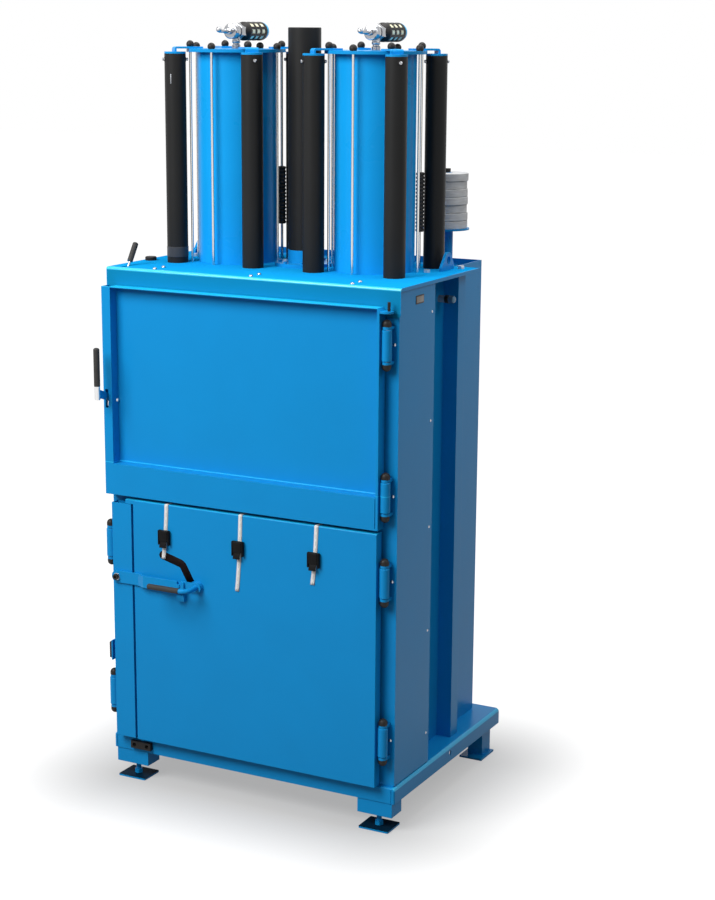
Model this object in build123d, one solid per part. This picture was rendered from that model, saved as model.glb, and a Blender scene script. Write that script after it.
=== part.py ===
from build123d import *
import os
from math import cos, radians, sin

# Recycling baler: an upright press with two doors and two pneumatic cylinders on its hood.
# Millimetres. The floor is z = 0, the front faces -Y, and the origin lies under the middle.

# Main planes, front to back
front_y = -327.0
door_stand = 40.0
post_setback = 3.0
seat_gap = 0.3
slip = 0.05

# Hood: a folded sheet over the front of the press
hood_width = 1000.0
hood_depth = 545.0
hood_top = 1641.5
hood_sheet = 3.0
hood_flange = 85.0
hood_fold = 10.5
hood_bend = 7.0
flange_corner = 10.0

# Base: a folded pan on two front boxes and two rear legs
base_side_margin = 2.0
base_rear_margin = 50.0
base_overhang = 10.0
base_top = 144.0
base_height = 50.0
base_wall = 5.0
base_bend = 12.0
base_front_bend = 6.0
base_corner = 16.0
groove_inset = 11.0
groove_width = 2.5
groove_depth = 1.5
side_hole_radius = 8.5
side_hole_y = 388.0
side_hole_below_top = 23.0
leg_box_width = 116.0
leg_box_depth = 65.0
leg_box_drop = 46.0
leg_box_inset = 9.0
leg_wall = 5.0
rear_leg_width = 51.0
rear_leg_depth = 65.0
rear_leg_inset = 20.0
rear_leg_from_rear = 37.0
rear_plate_width = 79.0
rear_plate_depth = 101.0
foot_thick = 6.0

# Front feet
foot_width = 100.0
foot_depth = 84.0
foot_stud_radius = 8.0
foot_nut_flats = 24.0
foot_nut_height = 14.0
foot_stud_reach = 14.0
foot_corner = 4.0

# Chamber
chamber_inset = 79.0
chamber_rear = 737.0
chamber_wall = 3.0
ceiling_drop = 19.5
ceiling_thick = 12.0
beam_width = 90.0
stiffener_width = 49.0
stiffener_depth = 50.0
stiffener_y = 457.0
stiffener_wall = 4.0
vent_radius = 2.0
vent_inset_y = 24.0
vent_drop = 84.5

# Front frame
post_width = 76.0
post_depth = 40.0
post_wall = 4.0
header_height = 69.0
header_wall = 4.0

# Side covers
cover_inset = 5.0
cover_sheet = 3.0
cover_depth = 234.0
cover_foot_gap = 3.0
rivet_radius = 4.0
rivet_height = 2.5
rivet_inset = 19.0
rivet_drop = 92.5
rivet_rows = 4
rivet_skirt = 0.5
rivet_pitch = 325.0
rivet_rise = 101.0
plate_length = 53.0
plate_height = 25.0
plate_thick = 1.0
plate_y = 104.0
plate_drop = 58.5

# Hinges
right_hinge_inset = 33.0
left_hinge_inset = 10.0
hinge_setback = 20.0
barrel_radius = 15.0
barrel_length = 90.0
barrel_chamfer = 1.5
hinge_pin_radius = 7.0
hinge_gap = 1.5
lug_radius = 13.0
lug_thick = 8.0
cap_radius = 13.5
cap_height = 20.0
upper_hinge_insets = [107.0, 97.0]
lower_hinge_insets = [149.0, 141.0]
post_hinge_insets = [135.0, 140.0]
screw_radius = 5.0
screw_height = 3.5
screw_skirt = 1.0
screw_inset = 20.0

# Upper door: a tray that opens to the front
upper_left_inset = 7.0
door_gap = 10.0
upper_top_drop = 54.5
door_sheet = 3.0
tray_back = 2.0
barrel_bite = 1.0
lip_width = 8.0
stile_width = 31.0
rail_height = 98.0
rail_slit = 2.0
rail_slit_depth = 10.0
rail_ledge = 4.0
corner_cut = 9.0

# Interlock blade and pin on the upper door
blade_thick = 6.0
blade_below_top = 9.0
blade_clear = 0.8
interlock_pin_radius = 4.5
interlock_pin_below = 4.0
interlock_pin_above = 26.0
interlock_pin_out = 6.0
interlock_pin_chamfer = 0.8

# Upper door lever
lever_inset = 12.0
lever_pivot_depth = 12.0
lever_pivot_rise = 294.0
lever_pin_radius = 5.0
lever_boss_radius = 11.0
lever_plate = 5.0
lever_slot_width = 11.0
lever_slot_drop = 22.0
lever_slot_height = 58.0
lever_stand = 90.0
lever_tube_radius = 9.0
lever_tube_rise = 11.0
lever_tube_height = 42.0
lever_core_radius = 6.5
lever_grip_radius = 9.5
lever_grip_length = 118.0
lever_dome_height = 5.0
lever_dome_radius = 6.5
lever_dome_skirt = 1.5
lever_grip_round = 6.5
lever_grip_end = 6.0
lever_root_back = 6.5
lever_root_top = 9.0
lever_root_front = 4.5
lever_root_bottom = 10.0
lever_neck_stand = 6.0
lever_neck_drop = 8.0
lever_toe_drop = 8.0
lever_heel_rise = 6.0
lever_throat_rise = 2.0
hook_radius = 17.6
hook_bore = 12.0
hook_ahead = 4.0
hook_bore_back = 2.0
hook_bore_drop = 2.0
hook_sheet_gap = 1.0
hook_overhang = 4.0

# Lower door
lower_left_inset = 107.0
lower_bottom_gap = 5.0
lower_top = 930.0
lower_back = 7.0
lower_right_step = 3.0
lower_wall = 4.0
lower_bend = 4.0
tab_length = 28.0
tab_height = 13.0
tab_depth = 24.0

# Latch post
latch_inset = 28.0
latch_width = 71.0
latch_bottom_gap = 6.0
latch_top_drop = 15.0
latch_wall = 4.0

# Latch bar, bolt, crank and handle
bolt_inset = 18.0
bar_drop = 251.0
bar_height = 38.0
bar_thick = 6.0
bar_gap = 1.0
bar_step = 13.0
joggle_inset = 79.0
joggle_skew = 2.0
joggle_length = 27.0
bar_past_pin = 18.0
bar_round_left = 18.0
bar_round_right = 5.0
bolt_radius = 7.0
bolt_reach = 6.0
bolt_hole_clear = 0.8
bolt_washer_radius = 11.0
bolt_washer_thick = 2.0
bolt_head_radius = 9.5
bolt_head_height = 8.0
bolt_socket_flats = 9.0
bolt_socket_depth = 5.0
handle_inset = 234.0
handle_rise = 6.0
crank_length = 59.0
crank_width = 32.0
crank_neck = 25.6
crank_gap = 1.0
crank_pin_radius = 5.0
crank_pin_clear = 0.6
crank_pin_proud = 3.0
notch_widening = 5.0
handle_shaft_radius = 7.0
handle_boss_radius = 18.0
handle_boss_height = 7.0
handle_rod_radius = 7.5
handle_reach = 68.0
handle_bend = 22.0
grip_start = 27.0
grip_length = 113.0
grip_radius = 8.5
grip_core_radius = 6.0
grip_round = 5.1
grip_end = 6.0
stop_inset = 58.0
stop_drop = 41.0
stop_width = 26.0
stop_height = 22.0
stop_depth = 12.0

# Lashing straps and their buckles on the lower door
strap_width = 13.5
strap_thick = 1.2
strap_insets = [116.5, 379.5, 639.0]
strap_drops = [172.0, 238.0, 181.0]
strap_inner = 150.0
buckle_width = 40.0
buckle_height = 56.0
buckle_depth = 11.0
buckle_drop = 106.0
buckle_lip = 16.0
buckle_lip_thick = 3.0
buckle_corner = 4.0
buckle_lip_inset = 2.0
buckle_lip_proud = 2.0
buckle_lip_rise = 4.0
buckle_tongue_inset = 6.0

# Guide block and buffer
guide_inset = 70.0
guide_length = 75.0
guide_height = 24.0
guide_depth = 14.0
guide_drop = 37.0
guide_hole_inset = 14.2
guide_hole_radius = 3.5
guide_sink_radius = 6.5
guide_sink_depth = 6.0
guide_round = 2.0
buffer_rise = 282.5
buffer_depth = 28.0
buffer_height = 52.0
buffer_thick = 10.0
buffer_round = 3.0
buffer_edge = 2.0
bracket_height = 65.0
bracket_reach = 34.0
bracket_sheet = 4.0

# Air coupling on the right wall
coupling_y = 423.0
coupling_drop = 84.5
coupling_sleeve = 22.0
coupling_radius = 11.0
coupling_ring = 12.0
coupling_ring_radius = 12.5
coupling_cap = 20.0
coupling_cap_radius = 11.5
coupling_cap_round = 8.0

# Cylinders
cylinder_offset = 240.0
cylinder_y = 343.0
tube_radius = 122.0
tube_bore = 115.0
tube_height = 638.5
gland_height = 20.0
piston_rod_radius = 25.0
piston_thick = 40.0
piston_below_top = 8.0
piston_clear = 0.08
rod_hole_clear = 5.0
head_radius = 152.0
head_thick = 10.0
tie_rod_radius = 4.0
tie_circle_radius = 144.0
tie_rod_count = 8
tie_hole_clear = 0.3
nut_radius = 11.0
nut_skirt = 9.5
nut_height = 20.5

# Spring tubes round each cylinder, held down by the head's bent straps
spring_circle_radius = 191.2
spring_radius = 32.5
spring_wall = 3.0
spring_drop = 5.0
ear_width = 40.0
ear_thick = 6.0
ear_start = 108.0
ear_over = 5.0
ear_bend = 8.0
cross_bolt_radius = 4.0
cross_bolt_overhang = 3.5
cross_bolt_head = 4.0
cross_bolt_head_radius = 7.0
cross_bolt_skirt = 1.0
cross_bolt_below = 17.0

# Exhaust valve and silencer on each cylinder head, placed along the valve's axis from its neck
valve_height = 52.0
valve_angle = 90.0
valve_neck_radius = 13.0
valve_body_start = -37.0
valve_body_end = -5.0
valve_body_radius = 23.0
valve_body_round = 4.0
valve_seal_radius = 19.0
valve_hex_length = 25.0
valve_hex_flats = 44.0
valve_stub_radius = 16.0
valve_spindle_radius = 5.0
valve_lobe_place = -63.0
valve_lobe_radius = 7.5
valve_ball_place = -100.0
valve_ball_radius = 8.7
valve_ball_rise = 5.0
silencer_start = 28.0
silencer_neck_radius = 20.0
silencer_shoulder = 14.0
silencer_radius = 28.5
silencer_length = 132.0
silencer_cap_round = 8.0
silencer_windows = 8
window_places = [62.0, 91.0, 121.0]
window_length = 20.0
window_width = 14.5
window_depth = 2.0

# Centre tube
centre_radius = 50.0
centre_wall = 4.0
centre_height = 713.5
centre_round = 3.0
collar_radius = 52.0
collar_height = 38.5
flange_clear = 1.0
flange_thick = 10.0
flange_bolts = 8
flange_bolt_inset = 15.0
flange_bolt_radius = 6.0
flange_bolt_height = 6.0

# Small things on the hood
dome_bolt_inset = 164.0
dome_bolt_rows = [18.0, 66.0]
dome_bolt_radius = 6.5
dome_bolt_height = 6.0
dome_bolt_skirt = 1.5
hex_bolt_insets = [(94.0, 366.0), (42.0, 498.0)]
hex_bolt_flats = 18.0
hex_bolt_height = 9.0
lift_inset = 64.0
lift_thick = 9.0
lift_front = 398.0
lift_back = 485.0
lift_height = 54.5
lift_foot_height = 12.0
lift_top_radius = 25.0
lift_hole_radius = 12.5
lift_hole_y = 446.0
plug_inset = 27.0
plug_y = 204.0
plug_radius = 18.0
plug_height = 12.0
plug_round = 4.0

# Control lever in its slot
control_inset = 48.0
control_y = 42.0
control_below = 9.5
control_lean = 33.0
control_length = 90.0
control_stem_radius = 3.5
control_grip_radius = 8.75
control_grip_length = 63.0
control_grip_round = 4.3
control_hub_radius = 4.5
control_hub_length = 12.0
control_pin_radius = 2.5
control_ear = 4.0
control_slot_front = 10.0
control_slot_back = 60.0
control_slot_width = 9.0

# Strap reel behind the hood
reel_inset = 88.0
reel_y = 655.0
reel_post_radius = 22.0
reel_disc_rise = 119.0
reel_disc_radius = 73.0
reel_disc_thick = 5.0
reel_pin_radius = 8.0
reel_hub_radius = 16.0
roll_radius = 67.0
roll_height = 172.0
reel_knob_radius = 12.0
reel_knob_height = 12.0

# Press plate and its stroke
press_side_clear = 13.0
press_front_clear = 7.0
press_rear_clear = 12.0
press_gap = 10.0
press_floor = 12.0
press_height = 50.0
press_wall = 6.0
rod_seat_radius = 45.0

# Planes worked out from the sizes above, front to back
door_front = front_y - door_stand
post_front = front_y + post_setback
shell_rear = front_y + chamber_rear
hood_rear = front_y + hood_depth
base_front = front_y - base_overhang
base_rear = shell_rear + base_rear_margin
hinge_y = front_y - hinge_setback
upper_back = front_y - tray_back
panel_front = upper_back - door_sheet
lower_inside = front_y - lower_back
cylinder_mid = front_y + cylinder_y
crank_back = door_front - handle_boss_height
bar_back = door_front - bar_gap
bar_front = bar_back - bar_thick
bar_out_back = bar_back - bar_step
bar_out_front = bar_out_back - bar_thick
press_front = front_y + post_setback + post_depth + press_front_clear
press_back = shell_rear - chamber_wall - press_rear_clear

# Planes worked out, side to side
hood_half = hood_width / 2
base_half = hood_half + base_side_margin
chamber_half = hood_half - chamber_inset
cover_x = hood_half - cover_inset
post_outer = cover_x - cover_sheet
right_hinge_x = hood_half - right_hinge_inset
left_hinge_x = left_hinge_inset - hood_half
screw_x = hood_half - screw_inset
upper_left = upper_left_inset - hood_half
upper_right = right_hinge_x - barrel_radius + barrel_bite
lower_left = lower_left_inset - hood_half
lower_right = upper_right - lower_right_step
lever_x = upper_left + lever_inset
latch_left = latch_inset - hood_half
latch_right = latch_left + latch_width
bolt_x = latch_left + bolt_inset
joggle_start = bolt_x + joggle_inset
joggle_end = joggle_start + joggle_length
handle_x = lower_left + handle_inset
crank_pin_x = handle_x - crank_length
bar_end_x = crank_pin_x + bar_past_pin
stop_x = handle_x - stop_inset
strap_x = [lower_left + inset for inset in strap_insets]
guide_x = guide_inset - base_half
dome_bolt_x = hood_half - dome_bolt_inset
lift_x = hood_half - lift_inset
plug_x = plug_inset - hood_half
control_x = control_inset - hood_half
reel_x = chamber_half - reel_inset
press_half = chamber_half - chamber_wall - press_side_clear
flange_radius = cylinder_offset - tie_circle_radius - tie_rod_radius - flange_clear
ear_angles = [45.0, 135.0, 225.0, 315.0]

# Heights worked out, bottom to top
base_under = base_top - base_height
guide_z = base_top - guide_drop
buffer_z = base_top + buffer_rise
lower_bottom = base_top + lower_bottom_gap
latch_bottom = base_top + latch_bottom_gap
latch_top = lower_top - latch_top_drop
bar_z = lower_top - bar_drop
handle_z = bar_z + handle_rise
stop_z = handle_z - stop_drop
buckle_z = lower_top - buckle_drop
strap_end_z = [lower_top - drop for drop in strap_drops]
upper_bottom = lower_top + door_gap
upper_top = hood_top - upper_top_drop
upper_hinges = [upper_top - upper_hinge_insets[0], upper_bottom + upper_hinge_insets[1]]
lower_hinges = [lower_top - lower_hinge_insets[0], lower_bottom + lower_hinge_insets[1]]
post_hinges = [latch_top - post_hinge_insets[0], latch_bottom + post_hinge_insets[1]]
lever_pivot_z = upper_bottom + lever_pivot_rise
lever_slot_bottom = lever_pivot_z - lever_slot_drop
lever_tube_bottom = lever_pivot_z + lever_tube_rise
hood_under = hood_top - hood_sheet
flange_bottom = hood_top - hood_flange
fold_bottom = hood_top - hood_fold
ceiling_top = hood_top - ceiling_drop
vent_z = hood_top - vent_drop
coupling_z = hood_top - coupling_drop
plate_z = hood_top - plate_drop
press_bottom = ceiling_top - ceiling_thick - press_gap - press_height
reel_disc_z = ceiling_top + reel_disc_rise
tube_top = hood_top + tube_height
spring_top = tube_top - spring_drop
head_bottom = tube_top
head_top = head_bottom + head_thick
centre_top = hood_top + centre_height


def block(x0, x1, y0, y1, z0, z1):
    """Box between two opposite corners."""
    middle = Pos((x0 + x1) / 2, (y0 + y1) / 2, (z0 + z1) / 2)
    return middle * Box(x1 - x0, y1 - y0, z1 - z0)


def upright(x, y, z0, z1, radius):
    """Round bar along Z."""
    return Pos(x, y, (z0 + z1) / 2) * Cylinder(radius, z1 - z0)


def across(x0, x1, y, z, radius):
    """Round bar along X."""
    return Pos((x0 + x1) / 2, y, z) * Rot(0, 90, 0) * Cylinder(radius, x1 - x0)


def endwise(x, y0, y1, z, radius):
    """Round bar along Y."""
    return Pos(x, (y0 + y1) / 2, z) * Rot(90, 0, 0) * Cylinder(radius, y1 - y0)


def both_sides(shape):
    """The shape and its mirror image in the middle plane."""
    return shape + mirror(shape, Plane.YZ)


def dome(radius, height, skirt):
    """Button on z = 0: a straight skirt with a rounded top."""
    crown = height - skirt
    ball = (radius**2 + crown**2) / (2 * crown)
    below = upright(0, 0, skirt - 3 * ball, skirt, 2 * ball)
    return upright(0, 0, 0, skirt, radius) + (Pos(0, 0, height - ball) * Sphere(ball) - below)


def hexagon(flats, height):
    """Hexagonal head standing on z = 0."""
    return extrude(RegularPolygon(flats / 2, 6, major_radius=False), height)


def polar(centre_x, centre_y, radius, angle):
    """Point at a radius and an angle from a vertical axis."""
    return centre_x + radius * cos(radians(angle)), centre_y + radius * sin(radians(angle))


def group(solids):
    """Separate solids kept in one sub-part."""
    return Compound(children=list(solids))


def base_frame():
    """Pan with legs: side holes and front grooves included."""
    half = base_half
    pan = block(-half, half, base_front, base_rear, base_under, base_top)
    pan = fillet(pan.edges().filter_by(Axis.Z).group_by(Axis.Y)[-1], base_corner)
    pan = fillet(pan.edges().filter_by(Axis.Y).group_by(Axis.Z)[-1], base_bend)
    pan = fillet(pan.edges().filter_by(Axis.X).group_by(Axis.Z)[-1].sort_by(Axis.Y)[0], base_front_bend)
    inner = half - base_wall
    pan -= block(-inner, inner, base_front + base_wall, base_rear - base_wall, base_under, base_top - base_wall)
    groove_x = half - groove_inset
    groove = block(groove_x - groove_width / 2, groove_x + groove_width / 2,
                   base_front, base_front + groove_depth, base_under, base_top - base_front_bend)
    pan -= both_sides(groove)
    hole_z = base_top - side_hole_below_top
    pan -= across(-half, half, front_y + side_hole_y, hole_z, side_hole_radius)
    return pan + both_sides(front_leg_box()) + both_sides(rear_leg())


def front_leg_box():
    """Right front leg: a folded box that is open to the rear."""
    outer = base_half - leg_box_inset
    inner = outer - leg_box_width
    y0 = base_front + base_wall / 2
    y1 = y0 + leg_box_depth
    bottom = base_under - leg_box_drop
    top = base_top - base_wall
    box = block(inner, outer, y0, y1, bottom, top)
    box -= block(inner + leg_wall, outer - leg_wall, y0 + leg_wall, y1, bottom + leg_wall, top)
    stud_x, stud_y = foot_centre()
    return box - upright(stud_x, stud_y, bottom, bottom + leg_wall, foot_stud_radius + seat_gap)


def foot_centre():
    """Axis of the right front foot."""
    outer = base_half - leg_box_inset
    return outer - leg_box_width / 2, base_front + base_wall / 2 + leg_box_depth / 2


def rear_leg():
    """Right rear leg with its floor plate."""
    outer = base_half - rear_leg_inset
    y1 = base_rear - rear_leg_from_rear
    y0 = y1 - rear_leg_depth
    leg = block(outer - rear_leg_width, outer, y0, y1, foot_thick, base_top - base_wall)
    middle = outer - rear_leg_width / 2
    plate = block(middle - rear_plate_width / 2, middle + rear_plate_width / 2,
                  y1 - rear_plate_depth, y1, 0, foot_thick)
    return leg + plate


def front_foot(side):
    """Levelling foot: plate, nut and stud up into the leg box."""
    stud_x, stud_y = foot_centre()
    plate = block(stud_x - foot_width / 2, stud_x + foot_width / 2,
                  stud_y - foot_depth / 2, stud_y + foot_depth / 2, 0, foot_thick)
    plate = fillet(plate.edges().filter_by(Axis.Z), foot_corner)
    nut = Pos(stud_x, stud_y, foot_thick) * hexagon(foot_nut_flats, foot_nut_height)
    stud_top = base_under - leg_box_drop + foot_stud_reach
    foot = plate + nut + upright(stud_x, stud_y, foot_thick, stud_top, foot_stud_radius)
    collar_z = base_under - leg_box_drop
    foot += Pos(stud_x, stud_y, collar_z - foot_nut_height / 2) * hexagon(foot_nut_flats, foot_nut_height / 2)
    return foot if side > 0 else mirror(foot, Plane.YZ)


def chamber_shell():
    """Press chamber: welded walls, ceiling, beams, stiffeners and the reel's post."""
    return group([side_wall(-1), side_wall(1), back_wall(), ceiling(), ceiling_beam(-1), ceiling_beam(1),
                  mirror(stiffener(), Plane.YZ), stiffener(), reel_post()])


def side_wall(side):
    """One side wall, stepped down under the hood, with a vent near its rear edge."""
    y0 = post_front + post_depth
    wall = block(chamber_half - chamber_wall, chamber_half, y0, shell_rear, base_top, hood_top)
    wall -= block(chamber_half - chamber_wall, chamber_half, y0, hood_rear, hood_under, hood_top)
    wall -= across(chamber_half - chamber_wall, chamber_half, shell_rear - vent_inset_y, vent_z, vent_radius)
    return wall if side > 0 else mirror(wall, Plane.YZ)


def back_wall():
    """Back wall between the side walls."""
    half = chamber_half - chamber_wall
    return block(-half, half, shell_rear - chamber_wall, shell_rear, base_top, hood_top)


def ceiling():
    """Thick ceiling plate with a hole for each piston rod."""
    half = chamber_half - chamber_wall
    bottom = ceiling_top - ceiling_thick
    plate = block(-half, half, post_front + post_depth, shell_rear - chamber_wall, bottom, ceiling_top)
    for side in (-1, 1):
        plate -= upright(side * cylinder_offset, cylinder_mid, bottom, ceiling_top,
                         piston_rod_radius + rod_hole_clear)
    return plate


def ceiling_beam(row):
    """Beam across the ceiling under one row of spring tubes."""
    half = chamber_half - chamber_wall
    beam_y = cylinder_mid + row * spring_circle_radius * cos(radians(45))
    return block(-half, half, beam_y - beam_width / 2, beam_y + beam_width / 2, ceiling_top, hood_under)


def stiffener():
    """Right upright box section on the chamber wall, open at its ends."""
    x0 = chamber_half
    x1 = x0 + stiffener_width
    y0 = front_y + stiffener_y
    y1 = y0 + stiffener_depth
    tube = block(x0, x1, y0, y1, base_top, ceiling_top)
    return tube - block(x0, x1 - stiffener_wall, y0 + stiffener_wall, y1 - stiffener_wall, base_top, ceiling_top)


def reel_post():
    """Post on the rear ceiling with the pin that the reel turns on."""
    y = front_y + reel_y
    post = upright(reel_x, y, ceiling_top, reel_disc_z, reel_post_radius)
    pin_top = reel_disc_z + reel_disc_thick + roll_height - seat_gap
    return post + upright(reel_x, y, reel_disc_z, pin_top, reel_pin_radius)


def hinge_lug(x):
    """Half-round lug from the post's face to one hinge axis, on z = 0."""
    ear = upright(x, hinge_y, 0, lug_thick, lug_radius)
    ear += block(x - lug_radius, x + lug_radius, hinge_y, post_front, 0, lug_thick)
    return ear - upright(x, hinge_y, 0, lug_thick, hinge_pin_radius + slip)


def hinge_places():
    """Every hinge as the x of its axis and the height of its middle."""
    right = [(right_hinge_x, z) for z in upper_hinges + lower_hinges]
    return right + [(left_hinge_x, z) for z in post_hinges]


def front_post():
    """Right box-section post."""
    inner = post_outer - post_width
    y1 = post_front + post_depth
    tube = block(inner, post_outer, post_front, y1, base_top, ceiling_top)
    return tube - block(inner + post_wall, post_outer - post_wall, post_front + post_wall, y1 - post_wall,
                        base_top, ceiling_top)


def header():
    """Channel between the posts over the doors, open to the rear."""
    half = post_outer - post_width
    y1 = post_front + post_depth
    bottom = ceiling_top - header_height
    channel = block(-half, half, post_front, y1, bottom, ceiling_top)
    return channel - block(-half, half, post_front + header_wall, y1, bottom + header_wall,
                           ceiling_top - header_wall)


def front_frame():
    """Welded posts, header, hinge lugs and the buffer's bracket."""
    members = [mirror(front_post(), Plane.YZ), front_post(), header()]
    reach = barrel_length / 2 + hinge_gap
    for x, z in hinge_places():
        members.append(Pos(0, 0, z + reach) * hinge_lug(x))
        members.append(Pos(0, 0, z - reach - lug_thick) * hinge_lug(x))
    members.append(block(-post_outer, -post_outer + bracket_sheet, post_front - bracket_reach, post_front,
                         buffer_z - bracket_height / 2, buffer_z + bracket_height / 2))
    return group(members)


def side_cover(side):
    """Outer sheet beside the front post with a return at its rear edge."""
    y1 = post_front + cover_depth
    z0 = base_top + cover_foot_gap
    x0 = cover_x - cover_sheet
    cover = block(x0, cover_x, post_front, y1, z0, fold_bottom)
    cover += block(chamber_half, x0, y1 - cover_sheet, y1, z0, fold_bottom)
    return cover if side > 0 else mirror(cover, Plane.YZ)


def side_rivets():
    """Five domed rivets down the rear edge of each cover."""
    y = post_front + cover_depth - rivet_inset
    heights = [hood_top - rivet_drop - i * rivet_pitch for i in range(rivet_rows)] + [base_top + rivet_rise]
    rivets = []
    for side in (-1, 1):
        for z in heights:
            rivets.append(Pos(side * cover_x, y, z) * Rot(0, side * 90, 0) * dome(rivet_radius, rivet_height, rivet_skirt))
    return group(rivets)


def data_plate():
    """Bare plate on the right cover."""
    y0 = post_front + plate_y
    return block(cover_x, cover_x + plate_thick, y0, y0 + plate_length, plate_z, plate_z + plate_height)


def hood():
    """Folded hood with its lifting lugs, rod holes and the control lever's slot."""
    outer = block(-hood_half, hood_half, front_y, hood_rear, flange_bottom, hood_top)
    outer = fillet(outer.edges().filter_by(Axis.X).group_by(Axis.Z)[-1].sort_by(Axis.Y)[0], hood_bend)
    outer = fillet(outer.edges().filter_by(Axis.Y).group_by(Axis.Z)[0], flange_corner)
    inner_half = hood_half - hood_sheet
    inner = block(-inner_half, inner_half, front_y + hood_sheet, hood_rear, flange_bottom - hood_flange, hood_under)
    inner = fillet(inner.edges().filter_by(Axis.X).group_by(Axis.Z)[-1].sort_by(Axis.Y)[0], hood_bend - hood_sheet)
    shell = outer - inner
    below_fold = block(inner_half, hood_half, front_y + hood_sheet, hood_rear, flange_bottom, fold_bottom)
    shell -= both_sides(below_fold)
    for side in (-1, 1):
        shell -= upright(side * cylinder_offset, cylinder_mid, hood_under, hood_top, piston_rod_radius + rod_hole_clear)
    shell -= block(control_x - control_slot_width / 2, control_x + control_slot_width / 2,
                   front_y + control_slot_front, front_y + control_slot_back, hood_under, hood_top)
    return shell + both_sides(lifting_lug()) + control_ears()


def lifting_lug():
    """Right lifting plate: a tongue that tapers up to a round eye."""
    eye_y = front_y + lift_hole_y
    eye_z = hood_top + lift_height - lift_top_radius
    foot_y = front_y + (lift_front + lift_back) / 2
    foot = Pos(foot_y, hood_top + lift_foot_height / 2) * Rectangle(lift_back - lift_front, lift_foot_height)
    head = Pos(eye_y, eye_z) * Circle(lift_top_radius)
    outline = make_hull(foot.edges() + head.edges())
    lug = extrude(Plane.YZ.offset(lift_x - lift_thick / 2) * outline, lift_thick)
    return lug - across(lift_x - lift_thick / 2, lift_x + lift_thick / 2, eye_y, eye_z, lift_hole_radius)


def control_ears():
    """Two ears under the hood that hold the control lever's pin."""
    y = front_y + control_y
    z = hood_top - control_below
    radius = hood_under - z
    ears = []
    for side in (-1, 1):
        middle = control_x + side * (control_hub_length / 2 + control_ear / 2 + seat_gap)
        ear = across(middle - control_ear / 2, middle + control_ear / 2, y, z, radius)
        ear += block(middle - control_ear / 2, middle + control_ear / 2, y - radius, y + radius, z, hood_under)
        ears.append(ear - across(middle - control_ear, middle + control_ear, y, z, control_pin_radius + slip))
    return ears[0] + ears[1]


def control_lever():
    """Stem, grip and hub of the lever that stands out of the hood's slot."""
    y = front_y + control_y
    z = hood_top - control_below
    half = control_hub_length / 2
    hub = across(control_x - half, control_x + half, y, z, control_hub_radius)
    pin_half = half + control_ear + seat_gap
    hub += across(control_x - pin_half, control_x + pin_half, y, z, control_pin_radius)
    stem_end = control_length - control_grip_length
    stem = Pos(0, 0, stem_end / 2) * Cylinder(control_stem_radius, stem_end)
    grip = Pos(0, 0, stem_end + control_grip_length / 2) * Cylinder(control_grip_radius, control_grip_length)
    grip = fillet(grip.edges().group_by(Axis.Z)[-1], control_grip_round)
    return hub + Pos(control_x, y, z) * Rot(-control_lean, 0, 0) * (stem + grip)


def hinge_barrel(x, z):
    """Knuckle of a door on one hinge pin."""
    barrel = upright(x, hinge_y, z - barrel_length / 2, z + barrel_length / 2, barrel_radius)
    barrel = chamfer(barrel.edges(), barrel_chamfer)
    return barrel - upright(x, hinge_y, z - barrel_length / 2, z + barrel_length / 2, hinge_pin_radius + slip)


def hinge_pins():
    """One pin per hinge, from lug to lug."""
    reach = barrel_length / 2 + hinge_gap + lug_thick
    return group(upright(x, hinge_y, z - reach, z + reach, hinge_pin_radius) for x, z in hinge_places())


def hinge_caps():
    """Domed cap on each end of every hinge pin."""
    reach = barrel_length / 2 + hinge_gap + lug_thick
    cap = dome(cap_radius, cap_height, cap_height - cap_radius)
    caps = []
    for x, z in hinge_places():
        caps.append(Pos(x, hinge_y, z + reach) * cap)
        caps.append(Pos(x, hinge_y, z - reach) * Rot(180, 0, 0) * cap)
    return group(caps)


def hinge_screws():
    """Screw head on the right post beside each door hinge."""
    head = Rot(90, 0, 0) * dome(screw_radius, screw_height, screw_skirt)
    return group(Pos(screw_x, post_front, z) * head for z in upper_hinges + lower_hinges)


def upper_door():
    """Tray with a left channel stile, a box rail, a right lip and two knuckles."""
    wall_x = upper_left + stile_width - door_sheet
    door = block(wall_x, upper_right, panel_front, upper_back, upper_bottom, upper_top)
    door += block(wall_x, upper_right, door_front, upper_back, upper_top - door_sheet, upper_top)
    door += block(upper_right - lip_width, upper_right, door_front, upper_back, upper_bottom, upper_top)
    door += stile_channel()
    door += rail_box(wall_x)
    corner = Plane.XZ.offset(-upper_back) * make_face(Polyline(
        (upper_right - corner_cut, upper_top), (upper_right, upper_top),
        (upper_right, upper_top - corner_cut), close=True))
    door -= extrude(corner, upper_back - door_front)
    for z in upper_hinges:
        door += hinge_barrel(right_hinge_x, z)
    return door + interlock_blade()


def stile_channel():
    """Left edge of the upper door: a channel that is open at its ends and its back."""
    x1 = upper_left + stile_width
    outer = block(upper_left, x1, door_front, upper_back, upper_bottom, upper_top)
    inner = block(upper_left + door_sheet, x1 - door_sheet, door_front + door_sheet, upper_back,
                  upper_bottom, upper_top)
    slot_top = lever_slot_bottom + lever_slot_height
    slot = block(lever_x - lever_slot_width / 2, lever_x + lever_slot_width / 2, door_front,
                 door_front + door_sheet, lever_slot_bottom, slot_top)
    pivot = across(upper_left, x1, front_y - lever_pivot_depth, lever_pivot_z, lever_pin_radius + slip)
    return outer - inner - slot - pivot


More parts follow.
